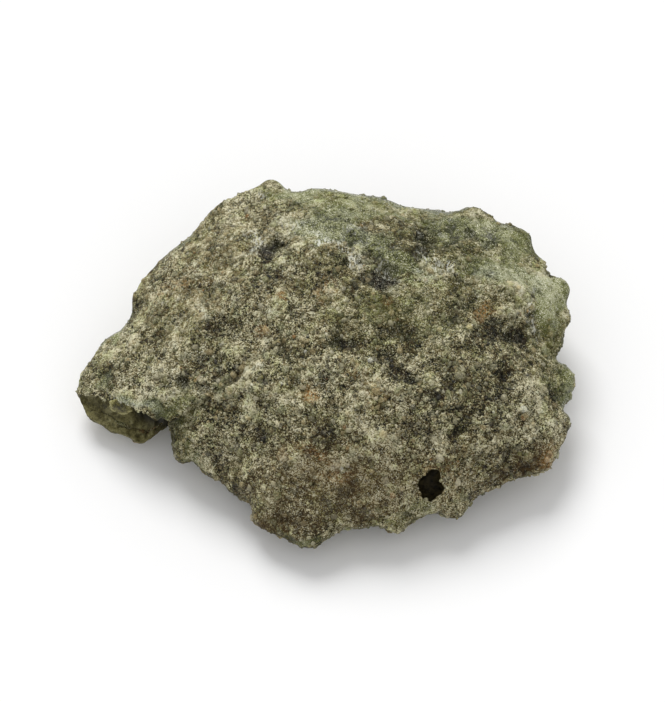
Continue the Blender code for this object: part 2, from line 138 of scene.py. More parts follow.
# Swells and hollows of the face: across, up, half width, half height, turn in degrees,
# and how far it stands out (or, if negative, sinks in), in mm.
SWELLS = (
    (-3.9, 8.2, 1.3, 0.9, 10, -0.5), (6.9, 8.7, 1.1, 0.8, 0, -0.55),
    (4.4, 6.3, 1.8, 1.0, -15, -0.5), (9.0, 9.6, 1.6, 1.2, 0, -0.35),
    (1.2, 9.6, 2.2, 0.9, -12, 0.35), (13.0, 8.6, 1.6, 1.2, 0, 0.4),
    (12.5, 5.6, 2.6, 1.2, -20, 0.3), (-10.6, -1.0, 1.0, 1.4, 20, -0.4),
    (-7.6, 2.2, 1.5, 1.0, 30, -0.3), (-5.2, -1.8, 1.5, 1.1, 0, 0.25),
    (0.7, 1.3, 1.4, 1.6, 0, -0.35), (-14.6, -1.0, 2.0, 0.9, 30, 0.3),
    (13.2, 1.7, 1.4, 1.1, 0, -0.35), (-3.4, -11.0, 1.8, 0.9, -10, -0.4),
    (13.2, -6.9, 2.4, 0.7, 20, -0.45), (5.6, -2.4, 2.6, 1.2, -40, 0.25),
    (2.4, -10.9, 1.2, 0.8, 0, 0.3), (-9.6, -6.6, 1.0, 0.8, -30, 0.3),
)

# Glassy beads that stand proud along the rim: across, up, height, radius and rise, in mm.
BEADS = (
    (14.4, 9.2, 7.2, 1.0, 0.3), (15.6, 7.0, 6.8, 0.7, 0.25), (17.2, 5.0, 6.2, 0.9, 0.35),
    (17.4, 3.0, 5.6, 0.9, 0.25), (16.9, 1.3, 5.2, 0.7, 0.25), (17.6, -1.4, 4.6, 0.9, 0.35),
    (17.0, -4.4, 4.0, 0.9, 0.3), (-4.3, 12.8, 8.8, 0.8, 0.35), (11.0, 10.8, 7.6, 0.9, 0.2),
    (8.7, -10.9, 2.3, 0.7, 0.25), (7.2, -10.8, 2.3, 0.9, 0.2), (4.6, -11.9, 2.1, 0.8, 0.25),
    (-1.6, -12.9, 2.0, 1.0, 0.12), (-10.9, -7.0, 2.3, 0.7, 0.3), (-13.8, -5.7, 1.5, 0.7, 0.2),
)

# Lumps all over the stone: size across, how far they stand out, both in mm, and their seed.
LUMPS = (
    (4.6, 0.42, 11), (2.3, 0.26, 23), (1.3, 0.12, 37),
)

# On the outline the lumps stand out by only this share, because its own points carry its
# bumps, and on the belly by this much more.
OUTLINE_LUMPS = 0.35
BELLY_LUMPS = 1.6

# The hollow under the broken skin of the toe, from its left end to its right end: across and
# up of its lip, across and up of its lower edge, and how far it goes in, in mm.
TOE_OPENING = (
    (-18.3, -2.55, -18.38, -2.8, 0.2), (-17.7, -2.75, -18.05, -3.5, 0.9),
    (-16.8, -2.75, -17.25, -4.28, 1.6), (-15.8, -2.9, -16.15, -5.02, 2.2),
    (-14.7, -3.1, -15.05, -5.42, 2.6), (-13.7, -3.45, -14.0, -5.74, 2.7),
    (-12.95, -3.9, -13.2, -5.74, 2.4), (-12.35, -4.15, -12.55, -5.18, 1.8),
    (-11.85, -4.35, -11.95, -4.85, 0.9), (-11.65, -4.5, -11.7, -4.7, 0.3),
)
# How far the hollow's edge stands above the outline, and the way it goes in.
TOE_EDGE = 0.10
TOE_INWARD = (0.15, 0.98, -0.05)
# The fold of glass that hangs from the hollow's lip: across, up, half width, half height,
# half thickness and turn in the view, in mm and degrees.
FOLD = (-15.20, -3.40, 0.85, 0.62, 0.22, 22)
# How finely it is made round and over, which way it hangs and faces, and how high up it the
# lip holds it, in its half heights.
FOLD_STEPS = (96, 34)
FOLD_HANG = (0, 0.50, 0.87)
FOLD_FRONT = (0, -0.87, 0.50)
FOLD_TOP = 0.87
# The hollow is painted in shade under the right part of its lip: a point of the lip across and
# up, how far the lip rises to the left, from where across the painted shade starts, and how
# far below the lip.
HOLLOW_LIP = (-12.35, -4.15)
HOLLOW_LIP_SLOPE = 0.42
LIP_SHADE_FROM = (-15.0, -13.6)
LIP_SHADE_FADE = (1.5, 0.3)
# The thin floor of the toe ends this far across. No grains lie under it, and no hidden bubbles
# lie there lower than this far up.
TOE_FLOOR_TO = -11.0
TOE_FLOOR_UP = -1.0
# How finely the hollow is made along its length and round it.
TOE_STEPS = 90
TOE_SIDES = 64
# Each number along the hollow is the mean of those up to this many steps away.
TOE_BLUR = 4

# The bubble that opens in the front face: its mouth is a tall drop, pointed at the top.
# The mouth's points are across and up from its middle, in mm.
MOUTH_PLACE = (7.17, -8.78)
MOUTH_SHAPE = (
    (0.32, 1.05), (0.71, 0.78), (0.76, 0.13), (0.98, -0.37), (0.85, -0.75), (0.44, -0.98),
    (-0.44, -0.98), (-0.62, -0.58), (-0.9, -0.1), (-0.66, 0.34), (-0.18, 0.78),
)

# Smaller broken bubbles in the belly and the back: direction round the stone in degrees,
# share of the way to the outline, and radius in mm.
VESICLES = (
    (62, 0.985, 1.25), (92, 0.995, 0.8), (118, 0.97, 1.55), (150, 0.99, 0.85), (26, 0.98, 1.1),
    (4, 0.96, 0.75), (-34, 0.975, 0.95), (-76, 0.96, 1.2), (-118, 0.965, 0.85), (80, 0.86, 1.7),
    (140, 0.84, 1.1), (20, 0.8, 1.45), (-60, 0.78, 1.0), (-128, 0.82, 1.35), (-5, 0.9, 0.85),
)

# How far a bubble's middle lies outside the surface, as a share of its radius.
VESICLE_OUT = 0.3

# Clods of half-melted sand: size, rise, how much their own lightness differs, how much
# painted shade darkens the cracks between them, and seed.
CLODS = (
    (1.35, 0.13, 0.45, 0.2, 71), (0.6, 0.075, 0.4, 0.22, 75), (0.28, 0.035, 0.42, 0.18, 79),
)
# A finer roughness of the sand, and the soft dimples of bare glass: size, rise and seed.
ROUGH = (0.42, 0.055, 85)
GLASS_DIMPLES = (
    (1.5, 0.11, 95), (0.6, 0.03, 97),
)
# Broad changes of lightness over the face, partly painted light and shade and partly the sand's
# own tone: place, half sizes, turn and change.
PAINTED_LIGHT_AND_TONE = (
    (-16.9, -1.6, 1.6, 1.3, 0, 0.25), (-5.0, 1.4, 8.5, 1.7, 0, -0.3),
    (1.0, 8.6, 9.0, 1.6, -5, 0.16), (10.5, -0.6, 4.0, 3.2, 0, -0.5),
    (0.5, 1.2, 4.5, 2.5, 0, -0.25), (5.0, 8.5, 6.0, 2.0, -8, -0.35),
    (-16.0, -1.0, 3.0, 3.0, 0, 0.12), (-3.5, -12.5, 4.0, 2.5, 0, -0.45),
    (-7.5, -7.0, 3.0, 3.0, 0, -0.2), (11.0, -8.0, 4.0, 3.0, 0, -0.25),
)

# Pits in the skin. Named ones are across, up, radius and how far their middle lies outside,
# as a share of the radius. The others are counts and sizes for the scattered ones.
FACE_PITS = (
    (-3.9, 8.1, 0.62, 0.45), (6.9, 8.6, 0.95, 0.72), (4.1, 6.2, 0.7, 0.55), (4.7, 6.5, 0.4, 0.5),
    (2.2, 4.5, 0.28, 0.3), (-10.6, -1.6, 0.5, 0.5), (10.2, 9.3, 0.55, 0.6),
    (-7.9, 5.4, 0.42, 0.55), (12.8, 1.6, 0.5, 0.6), (0.6, 1.5, 0.45, 0.6),
)
FACE_PINHOLES = 70
HIDDEN_BUBBLES = 420
PINHOLE_RADII = (0.12, 0.30)
BUBBLE_RADII = (0.18, 0.95)
# How far out a scattered pit's middle lies, in its radii, a broken bubble's radius here as a
# share of the solid's, and the power that makes large scattered pits rarer.
SMALL_PIT_OUT = 0.35
VESICLE_SHARE = 0.95
PIT_RARITY = 2.2

# What shows where on the face. Each mark is across, up, half width, half height, turn in
# degrees and strength.
GLASS_MARKS = (
    (-17.2, -1.9, 1.0, 0.7, 20, 0.6), (9.5, 9.6, 2.6, 0.9, 0, 0.5),
    (-0.6, 9.7, 2.8, 1.1, 0, 0.95), (3.3, 8.3, 2.8, 1.0, -20, 0.75),
    (5.8, 7.1, 1.9, 0.9, -35, 0.8), (12.7, 6.2, 4.4, 1.3, -15, 0.9),
    (10.9, 10.2, 3.2, 0.9, 0, 0.55), (16.3, 4.35, 1.1, 2.0, 0, 1.0),
    (17.0, -1.8, 0.9, 1.7, 0, 0.8), (-13.0, -3.3, 2.6, 0.8, -20, 0.75),
    (-10.2, -2.5, 1.6, 1.0, 0, 0.5), (8.0, 2.2, 3.0, 2.2, 0, 0.4), (-2.9, 12.0, 1.8, 0.9, 0, 0.8),
    (2.2, 11.2, 4.2, 0.8, 0, 0.6), (13.4, 8.6, 2.0, 1.2, -30, 0.7),
    (-16.7, 1.0, 1.6, 0.5, 42, 1.0), (-9.8, -6.9, 0.9, 0.7, 0, 0.6),
    (1.5, -11.7, 1.6, 0.5, 0, 0.55), (6.5, -10.7, 1.8, 0.5, 0, 0.6),
    (-2.2, -12.7, 2.2, 0.5, 0, 0.55),
)
# Pale sand and glass; the marks along the crest at (-4.7, 8.6), (0.0, 9.1), (1.2, 8.3) and (2.2,
# 7.2) are painted highlights where the glass glints.
PALE_AND_GLINT_MARKS = (
    (-16.6, -2.3, 1.2, 0.4, 0, 0.5), (11.2, 6.2, 1.3, 0.4, 20, 0.6),
    (13.0, 4.6, 0.9, 0.5, -20, 0.5), (-6.0, 9.9, 1.0, 0.6, 30, 0.5),
    (-5.4, -1.8, 0.9, 0.6, -10, 1.0), (-7.6, -2.3, 0.55, 0.5, 0, 1.0),
    (-0.6, -5.9, 0.45, 0.45, 0, 1.0), (-8.7, -1.0, 0.6, 0.5, 0, 0.6),
    (-10.6, 0.1, 0.5, 0.45, 0, 0.7), (-16.1, 0.0, 1.3, 0.55, 38, 0.3),
    (-14.6, -2.7, 1.7, 0.5, -24, 0.8), (-7.0, -5.2, 0.45, 0.4, 0, 0.5),
    (-3.7, -9.7, 0.6, 0.6, 0, 0.5), (0.0, 9.1, 1.0, 0.4, -35, 0.8),
    (1.2, 8.3, 0.9, 0.35, -40, 0.8), (2.2, 7.2, 0.8, 0.28, -40, 0.7),
    (3.3, 9.2, 1.0, 0.4, -15, 0.5), (-4.7, 8.6, 0.6, 0.5, 0, 0.8), (7.1, 6.5, 1.3, 0.55, 8, 0.7),
    (8.7, 6.6, 0.6, 0.35, -30, 0.5), (12.0, 5.4, 1.5, 0.8, 0, 0.7),
    (14.9, 5.9, 1.7, 0.8, -30, 0.8), (8.5, 10.5, 1.1, 0.35, 0, 0.6),
    (10.7, 11.0, 1.6, 0.35, 0, 0.5), (10.4, 2.6, 0.26, 0.26, 0, 1.2),
    (6.4, 2.1, 0.32, 0.3, 0, 0.6), (14.5, 2.5, 0.28, 0.28, 0, 0.8), (11.5, 0.1, 1.0, 0.5, 0, 0.5),
    (2.3, -1.0, 0.6, 0.45, 0, 0.8), (0.9, 0.0, 0.7, 0.5, 0, 0.6), (3.6, -3.0, 0.6, 0.45, 0, 0.6),
    (9.3, -4.1, 0.55, 0.3, 10, 0.9), (7.2, -2.8, 0.6, 0.26, -50, 0.7),
    (2.1, -6.4, 0.45, 0.4, 0, 0.7), (1.0, -7.0, 0.45, 0.4, 0, 0.6), (6.1, -5.6, 0.5, 0.4, 0, 0.5),
    (7.8, -5.9, 0.6, 0.45, 0, 0.4), (3.0, -10.1, 0.45, 0.4, 0, 0.5),
    (-8.9, 3.0, 0.7, 0.5, 0, 0.5), (-7.9, 6.6, 0.24, 0.24, 0, 1.0),
)
# Dark glass; the marks at the face's named pits also darken them as painted shade.
DARK_MARKS = (
    (6.5, 8.3, 0.85, 0.6, 0, 0.9), (9.8, 9.3, 0.75, 0.35, 10, 0.9),
    (11.4, 9.2, 0.6, 0.35, -30, 0.8), (10.6, 7.9, 0.8, 0.35, 0, 0.5),
    (12.8, 7.7, 0.5, 0.4, 0, 0.7), (-3.9, 8.1, 0.7, 0.6, 0, 0.9), (6.9, 8.7, 1.1, 0.65, 0, 0.7),
    (4.1, 6.2, 0.95, 0.6, 0, 0.9), (-8.9, 5.4, 0.7, 0.6, 0, 0.6), (-8.0, 2.6, 0.65, 0.75, 0, 0.6),
    (-10.6, -1.5, 0.75, 0.5, 0, 1.0), (-8.0, -0.4, 0.5, 0.9, 10, 0.5),
    (-0.8, 5.4, 0.6, 0.5, 0, 0.5), (-3.6, 6.0, 1.0, 0.7, 0, 0.5), (-3.9, 0.6, 0.85, 0.55, 0, 0.7),
    (-8.4, 8.0, 0.6, 0.8, 0, 0.4), (-0.5, -1.2, 0.75, 0.85, 0, 0.8),
    (-6.8, -1.5, 0.5, 0.5, 0, 0.5), (0.6, 1.4, 0.9, 0.75, 0, 1.0), (9.9, 4.4, 1.1, 0.5, 0, 0.5),
    (13.0, 1.9, 1.2, 1.0, -20, 0.9), (10.3, 9.3, 1.4, 0.45, 0, 0.6),
    (4.4, 0.1, 1.1, 0.75, 0, 0.7), (8.8, -1.3, 0.85, 0.65, 0, 0.7),
    (5.5, -1.3, 0.95, 0.75, 0, 0.8), (12.3, -0.8, 0.65, 0.7, 0, 0.7),
    (4.5, 2.0, 1.0, 0.45, 0, 0.5), (-2.8, -11.3, 1.3, 0.6, -10, 0.7),
    (0.9, -9.9, 1.0, 0.7, 0, 0.5), (13.3, -7.6, 2.0, 0.45, 17, 0.8),
    (-5.0, -5.4, 1.6, 1.2, 0, 0.3),
)
TAN_MARKS = (
    (-9.1, 5.8, 4.4, 2.6, 40, 0.15), (-11.2, 5.4, 1.6, 0.5, 25, 0.6),
    (-9.4, -0.7, 0.7, 0.5, 0, 0.7), (3.6, -3.0, 0.9, 0.6, 0, 0.6), (2.3, -1.0, 0.8, 0.6, 0, 0.6),
    (-0.1, 5.0, 0.9, 0.7, 0, 0.6), (1.0, 10.8, 1.1, 0.5, 0, 0.5), (12.6, 6.8, 1.8, 0.7, 0, 0.35),
    (8.6, -8.0, 2.4, 1.8, 0, 0.3),
)
RUST_MARKS = (
    (-2.0, -2.0, 0.65, 0.55, 0, 1.0), (-5.1, 1.8, 0.5, 0.4, 0, 0.5),
    (11.5, 3.1, 0.6, 0.5, 0, 0.8), (4.4, 4.1, 0.55, 0.45, 0, 0.4), (-3.6, 4.4, 0.3, 0.25, 0, 0.8),
    (15.6, -7.0, 0.9, 0.5, 30, 0.6), (-1.2, -7.0, 1.9, 0.4, -5, 0.45),
    (1.6, -6.1, 0.4, 0.4, 0, 0.4), (0.3, -8.6, 1.4, 0.6, 0, 0.35),
)
MOSS_MARKS = (
    (11.0, 8.0, 7.0, 4.5, -15, 0.4), (1.0, 12.0, 6.0, 1.3, -5, 0.8),
    (3.5, 3.0, 3.5, 2.5, 0, 0.25), (16.6, 2.0, 1.3, 4.0, 0, 0.8), (5.1, 4.3, 2.2, 1.5, 0, 0.4),
    (-10.9, -3.6, 1.9, 1.2, 0, 0.8), (13.9, 9.2, 1.1, 0.8, -30, 0.9),
    (16.2, 4.4, 0.9, 1.7, 0, 1.0), (2.5, 11.2, 3.6, 0.7, 0, 0.7), (-4.3, 12.2, 1.2, 0.8, 0, 0.8),
    (-16.7, 1.1, 1.5, 0.45, 42, 1.0), (17.4, -1.8, 0.6, 1.3, 0, 0.8),
    (-10.5, -6.2, 0.8, 1.3, 0, 0.7), (-2.2, -12.8, 2.2, 0.5, 0, 0.7),
    (4.4, -11.3, 2.2, 0.5, 0, 0.7), (12.6, 8.2, 2.2, 1.0, 0, 0.5),
    (-14.5, -5.2, 2.0, 0.8, -20, 0.9),
)
VIOLET_MARKS = (
    (-3.9, 8.2, 0.7, 0.5, 0, 0.8), (4.0, 6.2, 1.1, 0.7, 0, 0.9), (13.3, 1.8, 0.8, 0.6, 0, 0.4),
    (0.7, 1.4, 0.7, 0.5, 0, 0.4),
)
BROWN_MARKS = (
    (3.0, -8.5, 11.0, 3.5, 0, 0.45), (14.5, -7.2, 2.4, 0.8, 15, 0.9),
    (-4.0, -11.6, 2.4, 1.0, 0, 0.8), (0.5, -9.0, 5.0, 2.4, 0, 0.5), (3.0, 10.4, 1.6, 0.5, 0, 0.4),
)
GREY_MARKS = (
    (2.5, 7.6, 5.5, 2.2, -15, 1.0), (10.0, 5.2, 5.0, 1.8, -5, 0.4),
    (-8.0, 3.0, 6.0, 5.0, 40, 0.5), (-4.0, 9.0, 2.0, 1.5, 0, 0.8), (-7.0, -1.0, 3.5, 2.0, 0, 0.4),
    (14.0, -3.5, 2.5, 3.0, 0, 0.5),
)
# Painted highlights: thin pale streaks painted on the glassy crest and a few other places where
# light glints.
PAINTED_HIGHLIGHT_MARKS = (
    (-0.4, 8.9, 0.9, 0.5, -35, 1.0), (0.9, 8.1, 1.1, 0.5, -40, 1.0),
    (1.9, 7.0, 0.9, 0.35, -45, 1.0), (-4.8, 8.7, 0.6, 0.5, 0, 0.9), (1.9, 9.7, 0.8, 0.4, 20, 0.6),
    (-2.6, 9.7, 1.2, 0.5, 0, 0.4), (-5.0, 11.4, 0.7, 0.5, 30, 0.7),
    (7.9, 7.2, 1.4, 0.35, -50, 1.0), (6.6, 8.3, 0.6, 0.4, -30, 0.6),
    (4.4, 6.9, 0.6, 0.3, -30, 0.7), (14.9, 3.6, 0.4, 2.0, 10, 0.7),
    (-15.0, -2.9, 1.4, 0.3, -24, 0.5), (1.0, -7.6, 0.5, 0.4, 0, 0.7),
)
MARKS = {
    "sheen": PAINTED_HIGHLIGHT_MARKS,
    "grey": GREY_MARKS,
    "glass": GLASS_MARKS,
    "pale": PALE_AND_GLINT_MARKS,
    "dark": DARK_MARKS,
    "tan": TAN_MARKS,
    "rust": RUST_MARKS,
    "moss": MOSS_MARKS,
    "violet": VIOLET_MARKS,
    "brown": BROWN_MARKS,
}
# The hidden side has patches of each mark at random, and less or nothing of these.
HIDDEN_SHARES = {"sheen": 0.0, "rust": 0.6, "violet": 0.6}
# The numbers that each point of the skin keeps: the marks, the thin rim, which is painted in
# shade, how gritty and how light its sand is, with painted light and shade in that lightness,
# and whether it is in a pit, which is painted in shade.
LOOKS = (*MARKS, "rim", "grit", "tone", "pit")
# The rim is bare glass on this side of the stone, from and to in degrees round MIDDLE.
GLASS_RIM = (-32, 205)

# Patches of lighter and darker sand: the sizes of two noises.
PATCHES = (1.15, 0.55)
# How deep the ribs of the toe's hollow are, as a share of its half sizes.
HOLLOW_RIBS = 0.12
# The bubble behind the mouth: depth along the line of sight in mm, and scale of the mouth.
BOTTLE = (
    (1.6, 1.05), (0.4, 1.0), (0.0, 1.0), (-0.3, 1.06), (-0.8, 1.25), (-1.5, 1.4), (-2.1, 1.25),
    (-2.4, 0.85), (-2.55, 0.3),
)

# Grains in each of the four kinds, the spread of their lengths, and the least and most.
GRAINS_A_KIND = 3000
# No grain lies on skin that comes lower than this.
GRAINS_ABOVE = 0.12
GRAIN_SPREAD = 0.42
GRAIN_SIZES = (0.12, 0.80)
# The kinds of grain: shades and their shares, the spread of their lightness, then roughness,
# coat and how much of its own colour a grain keeps, then the seed, the length in mm, the least
# and most thickness as a share of it, how much of that is sunk, the tilt, and whether its
# corners look rounded.
GRAINS = {
    "quartz_grains": {
        "shades": ((190, 184, 150), (162, 158, 126), (212, 206, 178), (138, 136, 104)),
        "shares": (4, 4, 2, 3), "spread": 0.20, "look": (0.42, 0.25, 0.42),
        "seed": 101, "size": 0.30, "height": (0.40, 0.70), "sunk": 0.66, "tilt": 0.45,
        "rounded": False,
    },
    "feldspar_grains": {
        "shades": (
            (176, 158, 112), (146, 130, 88), (188, 172, 124), (166, 118, 62), (128, 118, 82),
        ),
        "shares": (4, 4, 3, 0.4, 4), "spread": 0.22, "look": (0.52, 0.0, 0.38),
        "seed": 103, "size": 0.30, "height": (0.40, 0.70), "sunk": 0.66, "tilt": 0.45,
        "rounded": False,
    },
    "green_grains": {
        "shades": ((112, 114, 68), (84, 88, 48), (136, 138, 92), (114, 110, 52)),
        "shares": (4, 3, 3, 2), "spread": 0.24, "look": (0.34, 0.25, 0.40),
        "seed": 107, "size": 0.38, "height": (0.35, 0.60), "sunk": 0.68, "tilt": 0.35,
        "rounded": True,
    },
    "dark_grains": {
        "shades": ((40, 40, 26), (56, 58, 38), (28, 28, 22), (62, 54, 32), (50, 52, 56)),
        "shares": (4, 3, 3, 2, 1), "spread": 0.28, "look": (0.42, 0.0, 0.60),
        "seed": 109, "size": 0.26, "height": (0.40, 0.60), "sunk": 0.62, "tilt": 0.45,
        "rounded": False,
    },
}
# How grains are stained by what shows where they lie: the mark, its colour and the most of it.
GRAIN_STAINS = (
    ("moss", (120, 118, 46), 0.55),
    ("tan", (182, 150, 100), 0.35),
    ("brown", (92, 72, 40), 0.45),
    ("rust", (190, 122, 54), 0.70),
    ("violet", (62, 60, 72), 0.55),
    ("glass", (130, 136, 92), 0.45),
)
# The darkest and the lightest that a grain's colour gets.
GRAIN_LIGHTS = (0.004, 0.85)
# A grain's cell in the map that its look is baked through.
CELL_MIDDLE = (0.565, 0.565)
CELL_RADIUS = 0.40
CELL_CORNER = ((0.03, 0.03), (0.29, 0.03), (0.03, 0.29))

# Colours as on a screen, at their places from the darkest to the lightest: of the sand, of bare
# glass, of the toe's hollow, of the fold, of the bubble, painted dark as painted shade, and of
# the floor. Then how light sand and glass are before anything changes it, and how rough every
# coat is.
SAND_RAMP = (
    (0.07, (12, 11, 3)),
    (0.28, (54, 51, 25)),
    (0.50, (113, 107, 73)),
    (0.71, (157, 149, 114)),
    (0.93, (216, 210, 178)),
)
GLASS_RAMP = (
    (0.20, (42, 44, 16)),
    (0.41, (93, 96, 50)),
    (0.60, (133, 135, 88)),
    (0.84, (194, 194, 158)),
)
HOLLOW_RAMP = (
    (0.22, (46, 42, 20)),
    (0.42, (98, 92, 54)),
    (0.60, (142, 136, 92)),
    (0.82, (200, 196, 152)),
)
FOLD_RAMP = (
    (0.22, (46, 42, 14)),
    (0.45, (92, 86, 38)),
    (0.65, (134, 128, 74)),
    (0.88, (204, 198, 150)),
)
# The bubble's glass is painted dark as painted shade deep in it.
BUBBLE_SHADE_RAMP = ((0.35, (40, 34, 20)), (0.65, (92, 82, 52)))
FLOOR_RAMP = ((0.3, (246, 246, 246)), (0.7, (250, 250, 250)))
SAND_LIGHT = 0.495
GLASS_LIGHT = 0.46
COAT_ROUGHNESS = 0.16

# The camera and the lights. Places and the floor's reach are in metres, AIM and KEY_FROM aside.
AIM = (0.18, 0.65, 6.0)
LENS = 212.2
CAMERA_DISTANCE = 0.30
CAMERA_NEAR = 0.01
FLOOR_REACH = 1.5
KEY_FROM = (-0.17, 0.60, 0.78)
KEY_STRENGTH = 1.80
KEY_WIDTH = 30
AIR_STRENGTH = 0.66


def picture_to_stone(across, up, height):
    """Points on the stone, from where a viewer sees them and how high they stand."""
    depth = (up - height * math.cos(VIEW_ELEVATION)) / math.sin(VIEW_ELEVATION)
    return np.stack([across, depth, height], axis=-1)


def corner_values(corners, seed):
    """A repeatable value from 0 to 1 for each whole-number corner of a lattice."""
    x, y, z = corners.astype(np.uint32).T
    mixed = x * np.uint32(73856093) ^ y * np.uint32(19349663) ^ z * np.uint32(83492791)
    mixed = (mixed ^ np.uint32(seed)) * np.uint32(2654435761)
    mixed = (mixed ^ (mixed >> np.uint32(15))) * np.uint32(2246822519)
    mixed = mixed ^ (mixed >> np.uint32(13))
    return mixed / float(2**32)


def lump_noise(points, size, seed):
    """Smooth noise from -1 to 1: random corner values of cubes, blended by 3t^2 - 2t^3."""
    cells = points / size
    corner = np.floor(cells).astype(np.int64)
    part = cells - corner
    ease = part * part * (3 - 2 * part)
    total = np.zeros(len(points))
    for step in itertools.product((0, 1), repeat=3):
        share = np.prod(np.where(step, ease, 1 - ease), axis=1)
        total += share * corner_values(corner + step, seed)
    return 2 * total - 1


def closed_curve(corners):
    """A closed Catmull-Rom curve through the corners, with SPAN_STEPS points on each span."""
    here = np.array(corners, dtype=float)
    before, after, later = (np.roll(here, turn, axis=0) for turn in (1, -1, -2))
    s = np.linspace(0, 1, SPAN_STEPS, endpoint=False)[None, :, None]
    before, here, after, later = (p[:, None, :] for p in (before, here, after, later))
    straight = after - before
    bend = 2 * before - 5 * here + 4 * after - later
    twist = 3 * here - before - 3 * after + later
    curve = here + (straight * s + bend * s**2 + twist * s**3) / 2
    return curve.reshape(-1, curve.shape[-1])


def outline_around():
    """The outline as angle round MIDDLE, distance from it and height, in rising angle."""
    curve = closed_curve(OUTLINE)
    across = curve[:, 0] - MIDDLE[0]
    up = curve[:, 1] - MIDDLE[1]
    angle = np.arctan2(up, across) % math.tau
    order = np.argsort(angle)
    return angle[order], np.hypot(across, up)[order], curve[order, 2]


def along_and_over(across, up, place):
    """How far these places are from a mark's middle, along it and over it, in its half sizes.

    A mark's place is its across, up, half width, half height and turn in degrees.
    """
    place_across, place_up, half_width, half_height, turn = place
    cos, sin = math.cos(math.radians(turn)), math.sin(math.radians(turn))
    right, above = across - place_across, up - place_up
    return (right * cos + above * sin) / half_width, (above * cos - right * sin) / half_height


def bell(across, up, place):
    """A bell curve over a mark's place: e to the minus squared distance in half sizes."""
    along, over = along_and_over(across, up, place)
    return np.exp(-(along**2) - over**2)


def face_height(across, up):
    """Height of the face above the ground: the crest's height, less a fall that grows with
    the distance in front of it or behind it, plus the swells, each a bell curve."""
    crest = np.array(CREST)
    crest_up = np.interp(across, crest[:, 0], crest[:, 1])
    height = np.interp(across, crest[:, 0], crest[:, 2])
    in_front = np.clip(crest_up - up, 0, None)
    behind = np.clip(up - crest_up, 0, None)
    height = height - FRONT_FALL[0] * in_front ** FRONT_FALL[1]
    height = height - BACK_FALL[0] * behind ** BACK_FALL[1]
    for *place, rise in SWELLS:
        height = height + rise * bell(across, up, place)
    return height


def belly_height(across, up):
    """Height of the belly: lowest at BELLY_PLACE, rising away from it and levelling off."""
    along = (across - BELLY_PLACE[0]) / BELLY_WIDTHS[0]
    over = (up - BELLY_PLACE[1]) / BELLY_WIDTHS[1]
    return BELLY_RISE * (1 - np.exp(-(along**2) - over**2)) - BELLY_SINK


def sheet_point(turn, reach, side):
    """Smooth stone at `turn` round MIDDLE and `reach` of the way to the outline, from 0 to 1.

    The height goes from the outline's to the face's (side above 0) or the belly's (side
    below 0) by the share (1 - reach^SHOULDER)^(1/2).
    """
    angle, distance, rim = outline_around()
    turn = turn % math.tau
    edge = np.interp(turn, angle, rim, period=math.tau)
    distance = reach * np.interp(turn, angle, distance, period=math.tau)
    across = MIDDLE[0] + distance * np.cos(turn)
    up = MIDDLE[1] + distance * np.sin(turn)
    share = np.sqrt(np.clip(1 - reach**SHOULDER, 0, 1))
    goal = np.where(side > 0, face_height(across, up), belly_height(across, up))
    return picture_to_stone(across, up, edge + (goal - edge) * share)


def box_to_sheet(box):
    """Turn, reach and side of the sheet for points on a box from -1 to 1.

    Squares round the top and bottom become rings: a point's turn is 45 degrees times its
    smaller side over its larger one, and its reach grows with the larger. Up the band the
    share (1 - reach^SHOULDER)^(1/2) grows evenly with the height in the box.
    """
    right, ahead, above = box.T
    wide = np.abs(right) >= np.abs(ahead)
    larger = np.where(wide, right, ahead)
    smaller = np.where(wide, ahead, right)
    lean = np.divide(smaller, larger, out=np.zeros_like(larger), where=larger != 0)
    turn = np.where(wide, lean, 2 - lean) * math.pi / 4 + np.where(larger < 0, math.pi, 0)
    top_share = math.sqrt(1 - BAND_START**SHOULDER)
    band = (1 - (top_share * above) ** 2) ** (1 / SHOULDER)
    reach = np.where(np.abs(above) < 1, band, np.abs(larger) * BAND_START)
    return turn, reach, above


def relief(points, reach, side):
    """How far lumps and beads stand out of the smooth stone at these points, in mm."""
    rise = np.zeros(len(points))
    for size, height, seed in LUMPS:
        rise += height * lump_noise(points, size, seed)
    rise *= np.interp(side, (-1, 0, 1), (BELLY_LUMPS, 1, 1))
    rise *= 1 - (1 - OUTLINE_LUMPS) * reach ** (2 * SHOULDER)
    for across, up, height, radius, out in BEADS:
        away = points - picture_to_stone(across, up, height)
        rise += out * np.exp(-np.sum(away**2, axis=1) / radius**2)
    return rise


def clods(points, size, seed):
    """Squared distance to the nearest of points scattered one to a cube, in cube sides, and
    a random value from 0 to 1 that belongs to that nearest point."""
    cells = points / size
    corner = np.floor(cells).astype(np.int64)
    nearest = np.full(len(points), np.inf)
    value = np.zeros(len(points))
    for step in itertools.product((-1, 0, 1), repeat=3):
        cube = corner + step
        spot = np.stack([corner_values(cube, seed + axis) for axis in range(3)], axis=-1)
        away = np.sum((cells - cube - spot) ** 2, axis=1)
        nearer = away < nearest
        nearest = np.where(nearer, away, nearest)
        value = np.where(nearer, corner_values(cube, seed + 3), value)
    return nearest, value


def cloud_noise(points, size, seed, octaves):
    """Lump noise of this size plus finer ones, each half the size and 0.6 of the height."""
    total = np.zeros(len(points))
    for octave in range(octaves):
        total += 0.6**octave * lump_noise(points, size / 2**octave, seed + octave)
    return total


def smooth_step(low, high, value):
    """0 below low and 1 above high, with 3t^2 - 2t^3 between them."""
    share = np.clip((value - low) / (high - low), 0, 1)
    return share * share * (3 - 2 * share)


